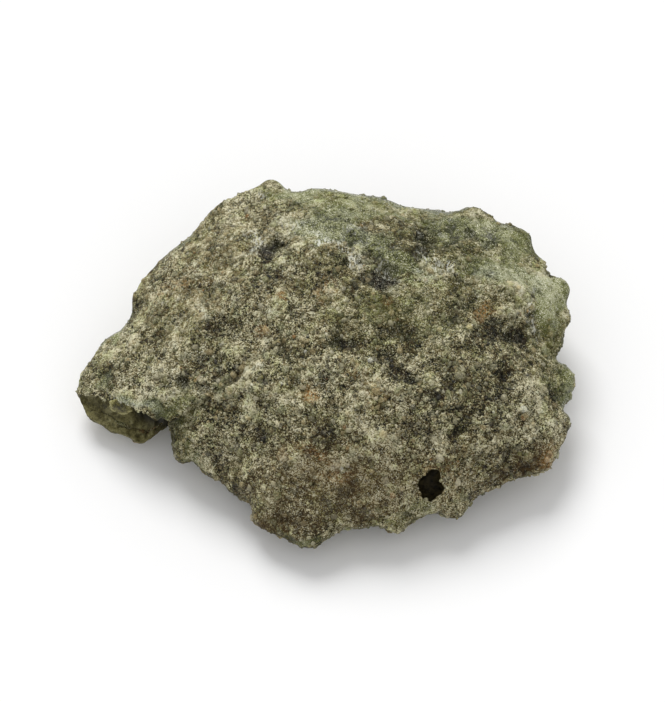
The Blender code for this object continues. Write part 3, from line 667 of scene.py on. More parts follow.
def box_lattice(wide, tall, open_side=None):
    """Points from -1 to 1 on a box and its squares, `wide` each way and `tall` up.

    Each side is a grid of two parameters, taken in the order that makes its squares face
    out. Points that two sides share are made one. The top or the bottom may be left open.
    """
    counts = (wide, wide, tall)
    sides = [(1, 0, 0, 2), (1, wide, 2, 0), (0, 0, 2, 1), (0, wide, 1, 2)]
    if open_side != "top":
        sides.append((2, tall, 0, 1))
    if open_side != "bottom":
        sides.append((2, 0, 1, 0))
    spots = []
    squares = []
    total = 0
    for fixed, value, first, second in sides:
        steps = np.arange(counts[first] + 1), np.arange(counts[second] + 1)
        u, v = np.meshgrid(*steps, indexing="ij")
        spot = np.zeros((*u.shape, 3), dtype=np.int64)
        spot[..., first] = u
        spot[..., second] = v
        spot[..., fixed] = value
        number = total + np.arange(u.size).reshape(u.shape)
        ring = (number[:-1, :-1], number[1:, :-1], number[1:, 1:], number[:-1, 1:])
        squares.append(np.stack(ring, axis=-1).reshape(-1, 4))
        spots.append(spot.reshape(-1, 3))
        total += u.size
    spots = np.concatenate(spots)
    step = max(counts) + 1
    keys = (spots[:, 0] * step + spots[:, 1]) * step + spots[:, 2]
    _, first_seen, number = np.unique(keys, return_index=True, return_inverse=True)
    box = 2 * spots[first_seen] / np.array(counts) - 1
    return box, number.reshape(-1)[np.concatenate(squares)]


def outward(points, squares):
    """The unit normal at each point: the sum of the cross products of its squares' diagonals."""
    corners = points[squares]
    cross = np.cross(corners[:, 2] - corners[:, 0], corners[:, 3] - corners[:, 1])
    total = np.zeros_like(points)
    for axis in range(3):
        weights = np.repeat(cross[:, axis], squares.shape[1])
        total[:, axis] = np.bincount(squares.ravel(), weights, minlength=len(points))
    return total / np.maximum(np.linalg.norm(total, axis=1, keepdims=True), 1e-12)


def seen_at(points):
    """Picture coordinates of points on the stone."""
    up = points[:, 1] * math.sin(VIEW_ELEVATION) + points[:, 2] * math.cos(VIEW_ELEVATION)
    return points[:, 0], up


def mark_strength(points, marks):
    """How strongly the marks show at these points: the sum of bell curves in the picture,
    read at places that noise has moved about, so that their edges are uneven."""
    across, up = seen_at(points)
    across = across + 0.75 * cloud_noise(points, 1.9, 201, 4)
    up = up + 0.75 * cloud_noise(points, 1.9, 221, 4)
    total = np.zeros(len(points))
    for *place, strength in marks:
        along, over = along_and_over(across, up, place)
        total += strength * np.exp(-((along**2 + over**2) ** 1.5))
    return np.clip(total, 0, 1.3)


def looks_at(points, normals):
    """What shows at each point, as a dict from the name of a look to its strength from 0 to 1.

    Where the camera sees the stone the marks say. On the rest it is noise of the same size.
    Everywhere the sand is patchy: lighter clots and darker glass between them.
    """
    facing = normals @ SIGHT
    shown = smooth_step(-0.25, 0.15, facing)
    looks = {}
    for number, (name, marks) in enumerate(MARKS.items()):
        cloud = lump_noise(points, 2.6, 301 + number) + 0.6 * lump_noise(points, 0.9, 331 + number)
        hidden = smooth_step(0.25, 1.0, cloud) * HIDDEN_SHARES.get(name, 1.0)
        looks[name] = shown * mark_strength(points, marks) + (1 - shown) * hidden
    across, up = seen_at(points)
    patch = lump_noise(points, PATCHES[0], 211) + 0.75 * lump_noise(points, PATCHES[1], 213)
    patchy = (0.45 + 0.55 * np.exp(-(((up + 2.5) / 6.0) ** 2))) * smooth_step(-18, -12, across)
    looks["dark"] = looks["dark"] + 0.70 * patchy * smooth_step(0.20, 1.05, patch)
    looks["pale"] = looks["pale"] + 0.60 * patchy * smooth_step(0.20, 1.05, -patch)
    turn = np.degrees(np.arctan2(points[:, 1] - rim_middle()[1], points[:, 0] - rim_middle()[0]))
    turn = (turn - GLASS_RIM[0]) % 360
    wide = GLASS_RIM[1] - GLASS_RIM[0]
    side = smooth_step(0, 14, turn) * smooth_step(0, 14, wide - turn)
    steep = side * smooth_step(0.50, 0.22, facing + 0.12 * lump_noise(points, 1.2, 217)) * shown
    looks["glass"] = looks["glass"] + steep
    looks["moss"] = looks["moss"] + 0.55 * steep
    # The rim, where the skin turns edge-on to the view, is painted in shade; it also gets less
    # relief, fewer grains and less coat.
    looks["rim"] = smooth_step(0.46, 0.06, facing) * shown
    gritty = 0.42 + 0.45 * cloud_noise(points, 2.4, 161, 3) + 0.40 * smooth_step(4, -4, up)
    looks["grit"] = gritty - 0.5 * smooth_step(0.25, 0.80, looks["glass"])
    return {name: np.clip(values, 0, 1) for name, values in looks.items()}


def rim_middle():
    """MIDDLE as a place on the ground plan, at the height of the outline."""
    return picture_to_stone(MIDDLE[0], MIDDLE[1], 6.0)


def stone_surface(box, squares, pits=()):
    """Points of the stone's surface at these places of the box, and what shows at each.

    A point is the smooth stone's, moved along its normal by the solid's lumps and beads,
    then by the finer relief of the fused sand, and last into the pits.
    """
    turn, reach, side = box_to_sheet(box)
    smooth = sheet_point(turn, reach, side)
    normals = outward(smooth, squares)
    points = smooth + normals * relief(smooth, reach, side)[:, None]
    normals = outward(points, squares)
    looks = looks_at(points, normals)
    rise, looks["tone"] = fused_relief(points, looks)
    points = points + normals * rise[:, None]
    looks["pit"] = sink(points, pits)
    points[:, 2] = np.maximum(points[:, 2], 0.0)
    return points, looks


def fused_relief(points, looks):
    """How far the fused sand stands out at each point, in mm, and how light it is.

    Sand is clods of a few sizes, each a dome 1 - 2 d^2 over the distance d to its middle,
    with painted shade in the cracks between them; bare glass keeps soft dimples instead.
    Some clods are pale and some are dark, and lightness follows height: painted light on
    what stands high and painted shade on what lies deep, in the roughness and the dimples too.
    """
    bare = smooth_step(0.25, 0.80, looks["glass"])
    smooth = (0.35 + 0.65 * looks["grit"]) * (1 - 0.3 * bare) * (1 - 0.6 * looks["rim"])
    shift = [cloud_noise(points, 0.7, seed, 2) for seed in (81, 83, 89)]
    moved = points + 0.18 * np.stack(shift, axis=-1)
    rise = (0.17 * looks["pale"] - 0.24 * looks["dark"]) * (1 - looks["rim"])
    tone = 0.75 * cloud_noise(moved, 1.8, 141, 5)
    for size, height, contrast, crack_shade, seed in CLODS:
        away, value = clods(moved, size, seed)
        dome = 1 - 2 * away
        rise += height * smooth * dome
        tone += contrast * (2 * value - 1) * smooth_step(0.75, 0.35, away)
        # Painted light on the domes and painted shade in the cracks.
        tone += crack_shade * (dome - 0.25) * (1 - 0.6 * bare)
    rough = cloud_noise(points, ROUGH[0], ROUGH[2], 3)
    rise += ROUGH[1] * smooth * rough
    # Lightness follows the height of the roughness: painted light and shade.
    tone += 0.25 * rough
    for size, height, seed in GLASS_DIMPLES:
        dimple = lump_noise(points, size, seed)
        rise += height * bare * dimple
        tone += 0.35 * bare * dimple
    return rise, np.clip(tone + shades(points), -2, 2)


def shades(points):
    """Broad changes of lightness, partly painted light and shade: bell curves at the listed
    places, and painted shade that darkens the face towards the front edge.
    """
    across, up = seen_at(points)
    # Painted shade: the face darkens towards the front edge.
    total = 0.02 - 0.12 * smooth_step(6, 1, up) - 0.22 * smooth_step(3, -9, up)
    for *place, change in PAINTED_LIGHT_AND_TONE:
        total += change * bell(across, up, place)
    return total


def choose_pits():
    """Centres, axes and radii of the pits: the named pits of the face, its pinholes, the
    solid's own broken bubbles and the small bubbles of the back and the belly."""
    box, squares = box_lattice(120, 30)
    points, _ = stone_surface(box, squares)
    normals = outward(points, squares)
    across, up = seen_at(points)
    facing = normals @ SIGHT
    pits = []
    for place_across, place_up, radius, outside in FACE_PITS:
        away = (across - place_across) ** 2 + (up - place_up) ** 2 + 100.0 * (facing < 0)
        nearest = np.argmin(away)
        centre = points[nearest] + normals[nearest] * radius * outside
        pits.append((centre, normals[nearest], radius))
    for turn, reach, radius in VESICLES:
        place = sheet_point(np.radians([float(turn)]), np.array([reach]), np.array([-1]))[0]
        heart = sheet_point(np.radians([float(turn)]), np.array([0.6]), np.array([1]))[0]
        axis = (place - heart) / np.linalg.norm(place - heart)
        pits.append((place + axis * radius * VESICLE_OUT, axis, radius * VESICLE_SHARE))
    draw = np.random.default_rng(11)
    off_the_floor = (across > TOE_FLOOR_TO) | (up > TOE_FLOOR_UP)
    groups = (
        (FACE_PINHOLES, PINHOLE_RADII, facing > 0.35),
        (HIDDEN_BUBBLES, BUBBLE_RADII, (facing < 0.05) & off_the_floor),
    )
    for count, radii, allowed in groups:
        choice = draw.choice(np.flatnonzero(allowed), count, replace=False)
        sizes = radii[0] * (radii[1] / radii[0]) ** (draw.random(count) ** PIT_RARITY)
        for nearest, radius in zip(choice, sizes):
            centre = points[nearest] + normals[nearest] * radius * SMALL_PIT_OUT
            pits.append((centre, normals[nearest], radius))
    return pits


def sink(points, pits):
    """Sinks the points that lie in a pit's ball along its axis until they lie on its far
    side. Returns 1 for each point that was sunk and 0 for the others."""
    order = np.argsort(points[:, 0])
    across = points[order, 0]
    sunk = np.zeros(len(points))
    for centre, axis, radius in pits:
        first, last = np.searchsorted(across, (centre[0] - radius, centre[0] + radius))
        near = order[first:last]
        near = near[np.sum((points[near] - centre) ** 2, axis=1) < radius**2]
        away = points[near] - centre
        along = away @ axis
        depth = along + np.sqrt(np.maximum(along**2 - np.sum(away**2, axis=1) + radius**2, 0))
        points[near] -= depth[:, None] * axis
        sunk[near] = 1
    return sunk


def face_sheet(pits):
    """The finely made part of the stone: its face and its sides, to just under the rim.

    The sheet's parameters are the places on the top and the band of a box lattice. Each
    quarter of it lies flat in a square of its own in the map, its band outside its face.
    The sheet is closed with a fan down to a far point, which is taken away after the cut.
    """
    box, squares = box_lattice(FACE_SQUARES, BAND_SQUARES, "bottom")
    open_edge = box[:, 2] == -1
    spread = (1 + MAP_BAND * (1 - box[:, 2]) / 2) / (1 + MAP_BAND)
    places = np.abs(box[:, :2]) * spread[:, None] * (MAP_SHARE, 1)
    quarter = (box[squares, 0].mean(axis=1) > 0) + 2 * (box[squares, 1].mean(axis=1) > 0)
    box[:, 2] = 1 - (1 - box[:, 2]) / 2 * (1 - FACE_END)
    points, looks = stone_surface(box, squares, pits)
    fans = []
    for first in range(4):
        second = (first + 1) % 4
        edge = open_edge[squares[:, first]] & open_edge[squares[:, second]]
        ends = squares[edge]
        apex = np.full(len(ends), len(points))
        fans.append(np.stack([ends[:, second], ends[:, first], apex, apex], axis=-1))
    fans = np.concatenate(fans)
    points = np.concatenate([points, [(0, 0, -60)]])
    places = np.concatenate([places, [(0, 0)]])
    looks = {name: np.append(values, 0) for name, values in looks.items()}
    slots = np.concatenate([quarter, np.full(len(fans), FAN_SLOT)])
    return points, np.concatenate([squares, fans]), slots, places, looks


def belly_sheet(pits):
    """The underside, from where the face ends. Its top edge is tucked in behind the face."""
    box, squares = box_lattice(BELLY_SQUARES, BELLY_BAND, "top")
    spread = (1 + MAP_BAND * (1 + box[:, 2]) / 2) / (1 + MAP_BAND)
    places = 0.5 + 0.5 * box[:, :2] * spread[:, None]
    top = FACE_END + BELLY_OVERLAP
    box[:, 2] = -1 + (1 + box[:, 2]) / 2 * (1 + top)
    points, looks = stone_surface(box, squares, pits)
    share = np.clip((box[:, 2] - FACE_END) / BELLY_OVERLAP + 0.2, 0, 1.2)
    points -= outward(points, squares) * (BELLY_TUCK * share)[:, None]
    points[:, 2] = np.maximum(points[:, 2], 0.0)
    return points, squares, places, looks


def faces_out(points, squares):
    """The squares, turned round if they make the closed surface face in."""
    a, b, c, d = (points[squares[:, corner]] for corner in range(4))
    volume = np.sum(a * np.cross(b, c)) + np.sum(a * np.cross(c, d))
    return squares if volume > 0 else squares[:, [1, 0, 3, 2]]


def toe_hollow():
    """Points, squares and map places of what is taken out of the toe.

    It is a tube along the toe's front edge. Its section is an ellipse that passes through
    the lip above and the thin edge below, and goes in behind them by the depth given in
    TOE_OPENING. Its far wall is ribbed, and its lip is ragged.
    """
    rows = np.array(TOE_OPENING)
    steps = np.linspace(0, len(rows) - 1, TOE_STEPS)
    table = np.stack([np.interp(steps, np.arange(len(rows)), column) for column in rows.T])
    blur = np.ones(2 * TOE_BLUR + 1) / (2 * TOE_BLUR + 1)
    table = [np.convolve(np.pad(row, TOE_BLUR, "edge"), blur, "valid") for row in table]
    table = np.array(table)
    lip = face_point(table[0], table[1])
    angle, _, rim = outline_around()
    turn = np.arctan2(table[3] - MIDDLE[1], table[2] - MIDDLE[0]) % math.tau
    height = np.interp(turn, angle, rim, period=math.tau) + TOE_EDGE
    edge = picture_to_stone(table[2], table[3], height)
    middle, half = (lip + edge) / 2, (lip - edge) / 2
    ragged = 1 + 0.16 * lump_noise(lip, 0.55, 5) + 0.10 * lump_noise(lip, 0.22, 6)
    round_it = np.linspace(0, math.tau, TOE_SIDES, endpoint=False)
    cos, sin = np.cos(round_it)[None, :, None], np.sin(round_it)[None, :, None]
    scale = np.where(cos > 0, ragged[:, None, None], 1.0)
    inward = np.array(TOE_INWARD) * table[4][:, None]
    points = middle[:, None] + half[:, None] * cos * scale + inward[:, None] * sin
    ribs = lump_noise((points * (2.2, 0.5, 0.5)).reshape(-1, 3), 0.5, 7)
    rough = cloud_noise(points.reshape(-1, 3), 1.2, 8, 3)
    wobble = (HOLLOW_RIBS * ribs + 0.10 * rough).reshape(sin.shape[0] * len(points), -1)
    points = points + inward[:, None] * np.clip(sin, 0, 1) * wobble[..., None]
    squares, ends = tube_faces(points)
    strip = np.stack([np.abs(round_it / math.pi - 1) * 2 - 1, 0 * round_it], axis=-1)[None]
    along = np.stack([0 * steps, 2 * steps / steps[-1] - 1], axis=-1)[:, None]
    places = (HOLLOW_MAP_MIDDLE + (strip + along) * HOLLOW_MAP_HALVES).reshape(-1, 2)
    places = np.concatenate([places, [places[0], places[-1]]])
    points = np.concatenate([points.reshape(-1, 3), ends])
    return points, faces_out(points, squares), places


def tube_faces(rings):
    """The squares of a tube through rings of points, and the middles of its closed ends."""
    tops, around = rings.shape[:2]
    number = np.arange(tops * around).reshape(tops, around)
    after = np.roll(number, -1, axis=1)
    squares = np.stack([number[1:], after[1:], after[:-1], number[:-1]], axis=-1).reshape(-1, 4)
    first, last = np.full(around, tops * around), np.full(around, tops * around + 1)
    fans = np.concatenate([
        np.stack([first, number[0], after[0], after[0]], axis=-1),
        np.stack([last, after[-1], number[-1], number[-1]], axis=-1),
    ])
    return np.concatenate([squares, fans]), rings.mean(axis=1)[[0, -1]]


def disc_places(away, turn):
    """Places in the strip of the map that is kept for a hollow: `away` is 0 at its deep end
    and 1 at its open end, and `turn` runs round it."""
    round_it = np.stack([np.cos(turn), np.sin(turn)], axis=-1)
    return HOLLOW_MAP_MIDDLE + away[:, None] * round_it * HOLLOW_MAP_HALVES


def face_point(across, up):
    """The point of the smooth face that the camera sees at this place of the picture."""
    angle, distance, _ = outline_around()
    right, above = across - MIDDLE[0], up - MIDDLE[1]
    turn = np.arctan2(above, right) % math.tau
    reach = np.hypot(right, above) / np.interp(turn, angle, distance, period=math.tau)
    return sheet_point(turn, reach, 1)


def mouth_and_bubble():
    """Points and squares of what is taken out of the front face: the mouth's outline carried
    along the line of sight, scaled at each place as BOTTLE says, and closed at both ends."""
    ring = closed_curve(MOUTH_SHAPE)
    ring = ring * (1 + 0.06 * lump_noise(np.c_[ring, 0 * ring[:, :1]], 0.35, 61))[:, None]
    ring = ring[::-1] if np.cross(ring[0], ring[SPAN_STEPS]) < 0 else ring
    right = np.array([1, 0, 0])
    above = np.cross(SIGHT, right)
    flat = ring[:, :1] * right + ring[:, 1:] * above
    depth, scale = np.array(BOTTLE).T
    tube = face_point(*MOUTH_PLACE) + SIGHT * depth[:, None, None] + flat * scale[:, None, None]
    inside = (depth < -0.25)[:, None]
    wobble = lump_noise(tube.reshape(-1, 3), 0.8, 63).reshape(tube.shape[:2])
    tube += (flat * (0.16 * wobble * inside * scale[:, None])[..., None])
    tops, around = tube.shape[:2]
    squares, ends = tube_faces(tube)
    away = np.append(np.repeat(np.linspace(0.96, 0.05, tops), around), (1.0, 0.0))
    turn = np.append(np.tile(np.arange(around) * math.tau / around, tops), (0.0, 0.0))
    points = np.concatenate([tube.reshape(-1, 3), ends])
    return points, faces_out(points, squares), disc_places(away, turn)


def new_piece(name, points, ends, sizes, materials, slots=None, places=None):
    """A mesh object at the origin from points in mm round the picture's middle.

    `ends` are the point numbers of all the faces in a row, `sizes` how many of them each face
    has, `slots` the material slot of each face, and `places` the place of each face's
    corners in the baking map.
    """
    mesh = bpy.data.meshes.new(name)
    mesh.vertices.add(len(points))
    mesh.loops.add(len(ends))
    mesh.polygons.add(len(sizes))
    mesh.vertices.foreach_set("co", ((points + SHIFT) * MM).ravel())
    mesh.loops.foreach_set("vertex_index", ends)
    mesh.polygons.foreach_set("loop_start", np.concatenate([[0], np.cumsum(sizes)[:-1]]))
    for material in materials:
        mesh.materials.append(material)
    if slots is not None:
        mesh.polygons.foreach_set("material_index", slots.astype(np.int32))
    if places is not None:
        bake = mesh.uv_layers.new(name=BAKING_MAP)
        bake.uv.foreach_set("vector", places.astype(np.float32).ravel())
    mesh.update(calc_edges=True)
    made = bpy.data.objects.new(name, mesh)
    bpy.context.scene.collection.objects.link(made)
    return made


def put_in_mesh(name, points, squares, materials, slots=None, places=None):
    """A mesh object of squares. One whose last two numbers are the same is a triangle.
    `places` is the place of each point in the baking map."""
    triangle = squares[:, 3] == squares[:, 2]
    kept = np.ones(squares.shape, dtype=bool)
    kept[triangle, -1] = False
    ends = squares[kept]
    at_ends = None if places is None else places[ends]
    return new_piece(name, points, ends, np.where(triangle, 3, 4), materials, slots, at_ends)


def read_numbers(rows, key, kind=np.int32, each=1):
    """The numbers that the rows of a mesh hold under this key, `each` to a row."""
    values = np.empty(len(rows) * each, kind)
    rows.foreach_get(key, values)
    return values


def read_points(mesh):
    """The mesh's points in mm round the picture's middle."""
    return read_numbers(mesh.vertices, "co", float, 3).reshape(-1, 3) / MM - SHIFT


def set_numbers(mesh, name, values):
    """Gives each point of the mesh a number under this name."""
    attribute = mesh.attributes.new(name, "FLOAT", "POINT")
    attribute.data.foreach_set("value", values.astype(np.float32))


def cut_hollows(stone):
    """Takes the toe's hollow and the bubble out of the stone. Their walls get the two slots
    after the fan's. Returns the cut mesh."""
    hollows = enumerate((toe_hollow(), mouth_and_bubble()), start=FAN_SLOT + 1)
    for slot, (points, squares, places) in hollows:
        slots = np.full(len(squares), slot)
        materials = list(stone.data.materials)
        tool = put_in_mesh(f"hollow_{slot}", points, squares, materials, slots, places)
        cut = stone.modifiers.new(tool.name, "BOOLEAN")
        cut.operation = "DIFFERENCE"
        cut.solver = "MANIFOLD"
        cut.object = tool
    ready = stone.evaluated_get(bpy.context.evaluated_depsgraph_get())
    cut_mesh = bpy.data.meshes.new_from_object(ready)
    tools = [modifier.object for modifier in stone.modifiers]
    for spare in (*tools, stone):
        bpy.data.objects.remove(spare)
    return cut_mesh


def part_of_mesh(name, mesh, wanted, materials):
    """A piece made of the faces of a mesh whose slots are keys of `wanted`, each with the new
    slot that it names. The points keep their looks and their places in the map."""
    sizes = read_numbers(mesh.polygons, "loop_total")
    old_slots = read_numbers(mesh.polygons, "material_index")
    ends = read_numbers(mesh.loops, "vertex_index")
    places = read_numbers(mesh.uv_layers[BAKING_MAP].uv, "vector", np.float32, 2)
    chosen = np.isin(old_slots, list(wanted))
    loops = np.repeat(chosen, sizes)
    kept, number = np.unique(ends[loops], return_inverse=True)
    number = number.reshape(-1).astype(np.int32)
    slots = np.vectorize(wanted.get)(old_slots[chosen])
    places = places.reshape(-1, 2)[loops]
    points = read_points(mesh)[kept]
    piece = new_piece(name, points, number, sizes[chosen], materials, slots, places)
    for look in LOOKS:
        values = read_numbers(mesh.attributes[look].data, "value", np.float32)
        set_numbers(piece.data, look, values[kept])
    piece.data.shade_smooth()
    return piece


def make_skin(skin, hollow, bubble):
    """The stone's skin as five pieces: the four quarters of its face and its belly."""
    pits = choose_pits()
    points, squares, slots, places, looks = face_sheet(pits)
    fillers = [skin] * 4 + [skin, hollow, bubble]
    stone = put_in_mesh("stone", points, squares, fillers, slots, places)
    for name, values in looks.items():
        set_numbers(stone.data, name, values)
    mesh = cut_hollows(stone)
    pieces = []
    for quarter, (name, walls) in enumerate(QUARTERS):
        wanted = {quarter: 0}
        materials = [skin]
        if walls is not None:
            wanted[walls] = 1
            materials.append(fillers[walls])
        pieces.append(part_of_mesh(name, mesh, wanted, materials))
    bpy.data.meshes.remove(mesh)
    points, squares, places, looks = belly_sheet(pits)
    belly = put_in_mesh("belly_skin", points, squares, [skin], None, places)
    for name, values in looks.items():
        set_numbers(belly.data, name, values)
    belly.data.shade_smooth()
    return [*pieces, belly]


def make_fold(look):
    """The fold of glass under the toe's lip: a flat closed pillow in the plane of the view.

    Its parameters are the angle round it and the way from one face over the edge to the
    other. It is an ellipsoid whose faces are dented, with a ripple along its edge.
    """
    across, up, half_width, half_height, half_thickness, turn = FOLD
    round_it = np.linspace(0, math.tau, FOLD_STEPS[0], endpoint=False)[None, :]
    over = np.linspace(0, math.pi, FOLD_STEPS[1])[1:-1, None]
    reach = np.sin(over) * (1 + 0.07 * np.sin(5 * round_it) + 0.05 * np.sin(9 * round_it + 1))
    wide, tall = reach * np.cos(round_it) * half_width, reach * np.sin(round_it) * half_height
    thick = np.cos(over) * half_thickness * (0.35 + 0.65 * np.sin(over) ** 4)
    thick = thick + 0.10 * np.cos(3.2 * tall / half_height) + 0 * round_it
    cos, sin = math.cos(math.radians(turn)), math.sin(math.radians(turn))
    right, above = wide * cos + tall * sin, tall * cos - wide * sin
    hang, front = np.array(FOLD_HANG), np.array(FOLD_FRONT)
    points = right[..., None] * (1, 0, 0) + above[..., None] * hang + thick[..., None] * front
    lip = face_point(np.array([across]), np.array([up + half_height * FOLD_TOP]))[0]
    points += lip - half_height * hang
    squares, ends = tube_faces(points)
    rough = cloud_noise(points.reshape(-1, 3), 0.5, 15, 3)[:, None]
    edge = np.append(np.broadcast_to(reach, wide.shape).reshape(-1), [0, 0])
    points = np.concatenate([points.reshape(-1, 3) + 0.05 * rough * front, ends])
    squares = faces_out(points, squares)
    piece = put_in_mesh("toe_fold", points, squares, [look])
    piece.data.shade_smooth()
    set_numbers(piece.data, "edge", edge)
    return piece


def grain_shape():
    """An icosahedron of radius 1 that stands on a corner, its faces, and a flat layout of them.

    Its corners are the top, a ring of five, a lower ring of five and the bottom. In the
    layout the rings lie round the top, and the five lowest faces share one small triangle.
    """
    turn = np.arange(5) * math.tau / 5
    ring = 2 / math.sqrt(5)
    upper = np.stack([ring * np.cos(turn), ring * np.sin(turn), np.full(5, ring / 2)], axis=-1)
    half_turn = turn + math.pi / 5
    across, ahead = ring * np.cos(half_turn), ring * np.sin(half_turn)
    lower = np.stack([across, ahead, np.full(5, -ring / 2)], axis=-1)
    corners = np.concatenate([[(0, 0, 1)], upper, lower, [(0, 0, -1)]])
    here, after = np.arange(5), (np.arange(5) + 1) % 5
    top, bottom = np.zeros(5, int), np.full(5, 11)
    faces = np.concatenate([
        np.stack([top, 1 + here, 1 + after], axis=-1),
        np.stack([1 + here, 6 + here, 1 + after], axis=-1),
        np.stack([6 + here, 6 + after, 1 + after], axis=-1),
        np.stack([bottom, 6 + after, 6 + here], axis=-1),
    ])
    flat = np.concatenate([[(0, 0)], upper[:, :2] / ring * 0.5, lower[:, :2] / ring])
    layout = CELL_MIDDLE + CELL_RADIUS * np.concatenate([flat, [(0, 0)]])[faces]
    layout[15:] = CELL_CORNER
    return corners, faces, layout


def from_screen(colour):
    """Linear colour from one given as 0 to 255 on a screen."""
    share = np.asarray(colour, dtype=float) / 255
    return np.where(share <= 0.04045, share / 12.92, ((share + 0.055) / 1.055) ** 2.4)


class Ground:
    """The triangles of the skin's pieces as places to lay grains on."""

    def __init__(self, pieces):
        points, corners, walls, looks = zip(*(self.read(piece.data) for piece in pieces))
        first = np.cumsum([0] + [len(some) for some in points])
        self.points = np.concatenate(points)
        self.corners = np.concatenate([some + start for some, start in zip(corners, first)])
        walls = np.concatenate(walls)
        looks = {name: np.concatenate([some[name] for some in looks]) for name in LOOKS}
        spots = self.points[self.corners]
        cross = np.cross(spots[:, 1] - spots[:, 0], spots[:, 2] - spots[:, 0])
        size = np.linalg.norm(cross, axis=1)
        self.area = size / 2
        self.outward = cross / np.maximum(size, 1e-12)[:, None]
        under_toe = (spots[:, :, 0].mean(axis=1) < TOE_FLOOR_TO) & (self.outward @ SIGHT < 0.1)
        self.bare = walls | (spots[:, :, 2].min(axis=1) < GRAINS_ABOVE) | under_toe
        self.looks = {name: values[self.corners].mean(axis=1) for name, values in looks.items()}

    @staticmethod
    def read(mesh):
        """The mesh's points, its triangles, which of them are a hollow's wall, and its looks."""
        mesh.calc_loop_triangles()
        corners = read_numbers(mesh.loop_triangles, "vertices", each=3).reshape(-1, 3)
        polygon = read_numbers(mesh.loop_triangles, "polygon_index")
        walls = read_numbers(mesh.polygons, "material_index")[polygon] > 0
        looks = {}
        for name in LOOKS:
            looks[name] = read_numbers(mesh.attributes[name].data, "value", np.float32)
        return read_points(mesh), corners, walls, looks

    def pick(self, count, weight, draw):
        """Triangles drawn by area times weight, and a place on each one."""
        chance = self.area * np.clip(weight, 0, None) * ~self.bare
        chosen = draw.choice(len(self.area), count, p=chance / chance.sum())
        u, v = draw.random((2, count))
        over = u + v > 1
        u, v = np.where(over, 1 - u, u), np.where(over, 1 - v, v)
        a, b, c = (self.points[self.corners[chosen, number]] for number in range(3))
        return chosen, a + (b - a) * u[:, None] + (c - a) * v[:, None]


def lay_grains(name, ground, weight, kind, colours, material):
    """One piece of grains on the skin, each an icosahedron with uneven corners.

    A grain is stretched along three axes of its own, the shortest near the skin's normal,
    and is sunk in the skin by a share of its thickness. Each grain has a colour of its own,
    and one cell of the map that its look is baked through.
    """
    count = GRAINS_A_KIND
    draw = np.random.default_rng(kind["seed"])
    chosen, places = ground.pick(count, weight, draw)
    up = ground.outward[chosen] + kind["tilt"] * draw.normal(size=(count, 3))
    up /= np.linalg.norm(up, axis=1, keepdims=True)
    along = np.cross(up, draw.normal(size=(count, 3)))
    along /= np.linalg.norm(along, axis=1, keepdims=True)
    across = np.cross(up, along)
    length = kind["size"] * np.exp(GRAIN_SPREAD * draw.normal(size=count))
    length = np.clip(length, *GRAIN_SIZES) * (1 + 0.35 * ground.looks["pale"][chosen])
    width = length * draw.uniform(0.60, 0.95, count)
    height = length * draw.uniform(*kind["height"], count)
    corners, faces, layout = grain_shape()
    shape = corners[None] * draw.uniform(0.70, 1.15, (count, len(corners), 1))
    shape = shape * np.stack([length, width, height], axis=-1)[:, None] / 2
    axes = np.stack([along, across, up], axis=1)
    points = np.einsum("gki,gij->gkj", shape, axes)
    middle = places + ground.outward[chosen] * (height * (0.5 - kind["sunk"]))[:, None]
    points = points + middle[:, None]
    points[..., 2] = np.maximum(points[..., 2], 0.0)
    numbers = (faces[None] + len(corners) * np.arange(count)[:, None, None]).reshape(-1, 3)
    cells = math.ceil(math.sqrt(count))
    cell = np.stack([np.arange(count) % cells, np.arange(count) // cells], axis=-1)
    spots = (cell[:, None, None] + layout[None]) / cells
    sizes = np.full(len(numbers), 3)
    points = points.reshape(-1, 3)
    piece = new_piece(name, points, numbers.ravel(), sizes, [material], places=spots)
    if kind["rounded"]:
        piece.data.shade_smooth()
    rows = np.ones((count, len(corners), 4), np.float32)
    rows[..., :3] = colours(chosen, draw)[:, None]
    layer = piece.data.attributes.new("grain_colour", "FLOAT_COLOR", "POINT")
    layer.data.foreach_set("color", rows.ravel())
    for look, values in ground.looks.items():
        set_numbers(piece.data, look, np.repeat(values[chosen], len(corners)))
    return piece


class Number:
    """A number socket of a look. Expressions on it add Math nodes."""

    def __init__(self, look, socket):
        self.look = look
        self.socket = socket

    def __add__(self, other):
        return self.look.maths("ADD", self, other)

    def __sub__(self, other):
        return self.look.maths("SUBTRACT", self, other)

    def __rsub__(self, other):
        return self.look.maths("SUBTRACT", other, self)

    def __mul__(self, other):
        return self.look.maths("MULTIPLY", self, other)

    __radd__ = __add__
    __rmul__ = __mul__


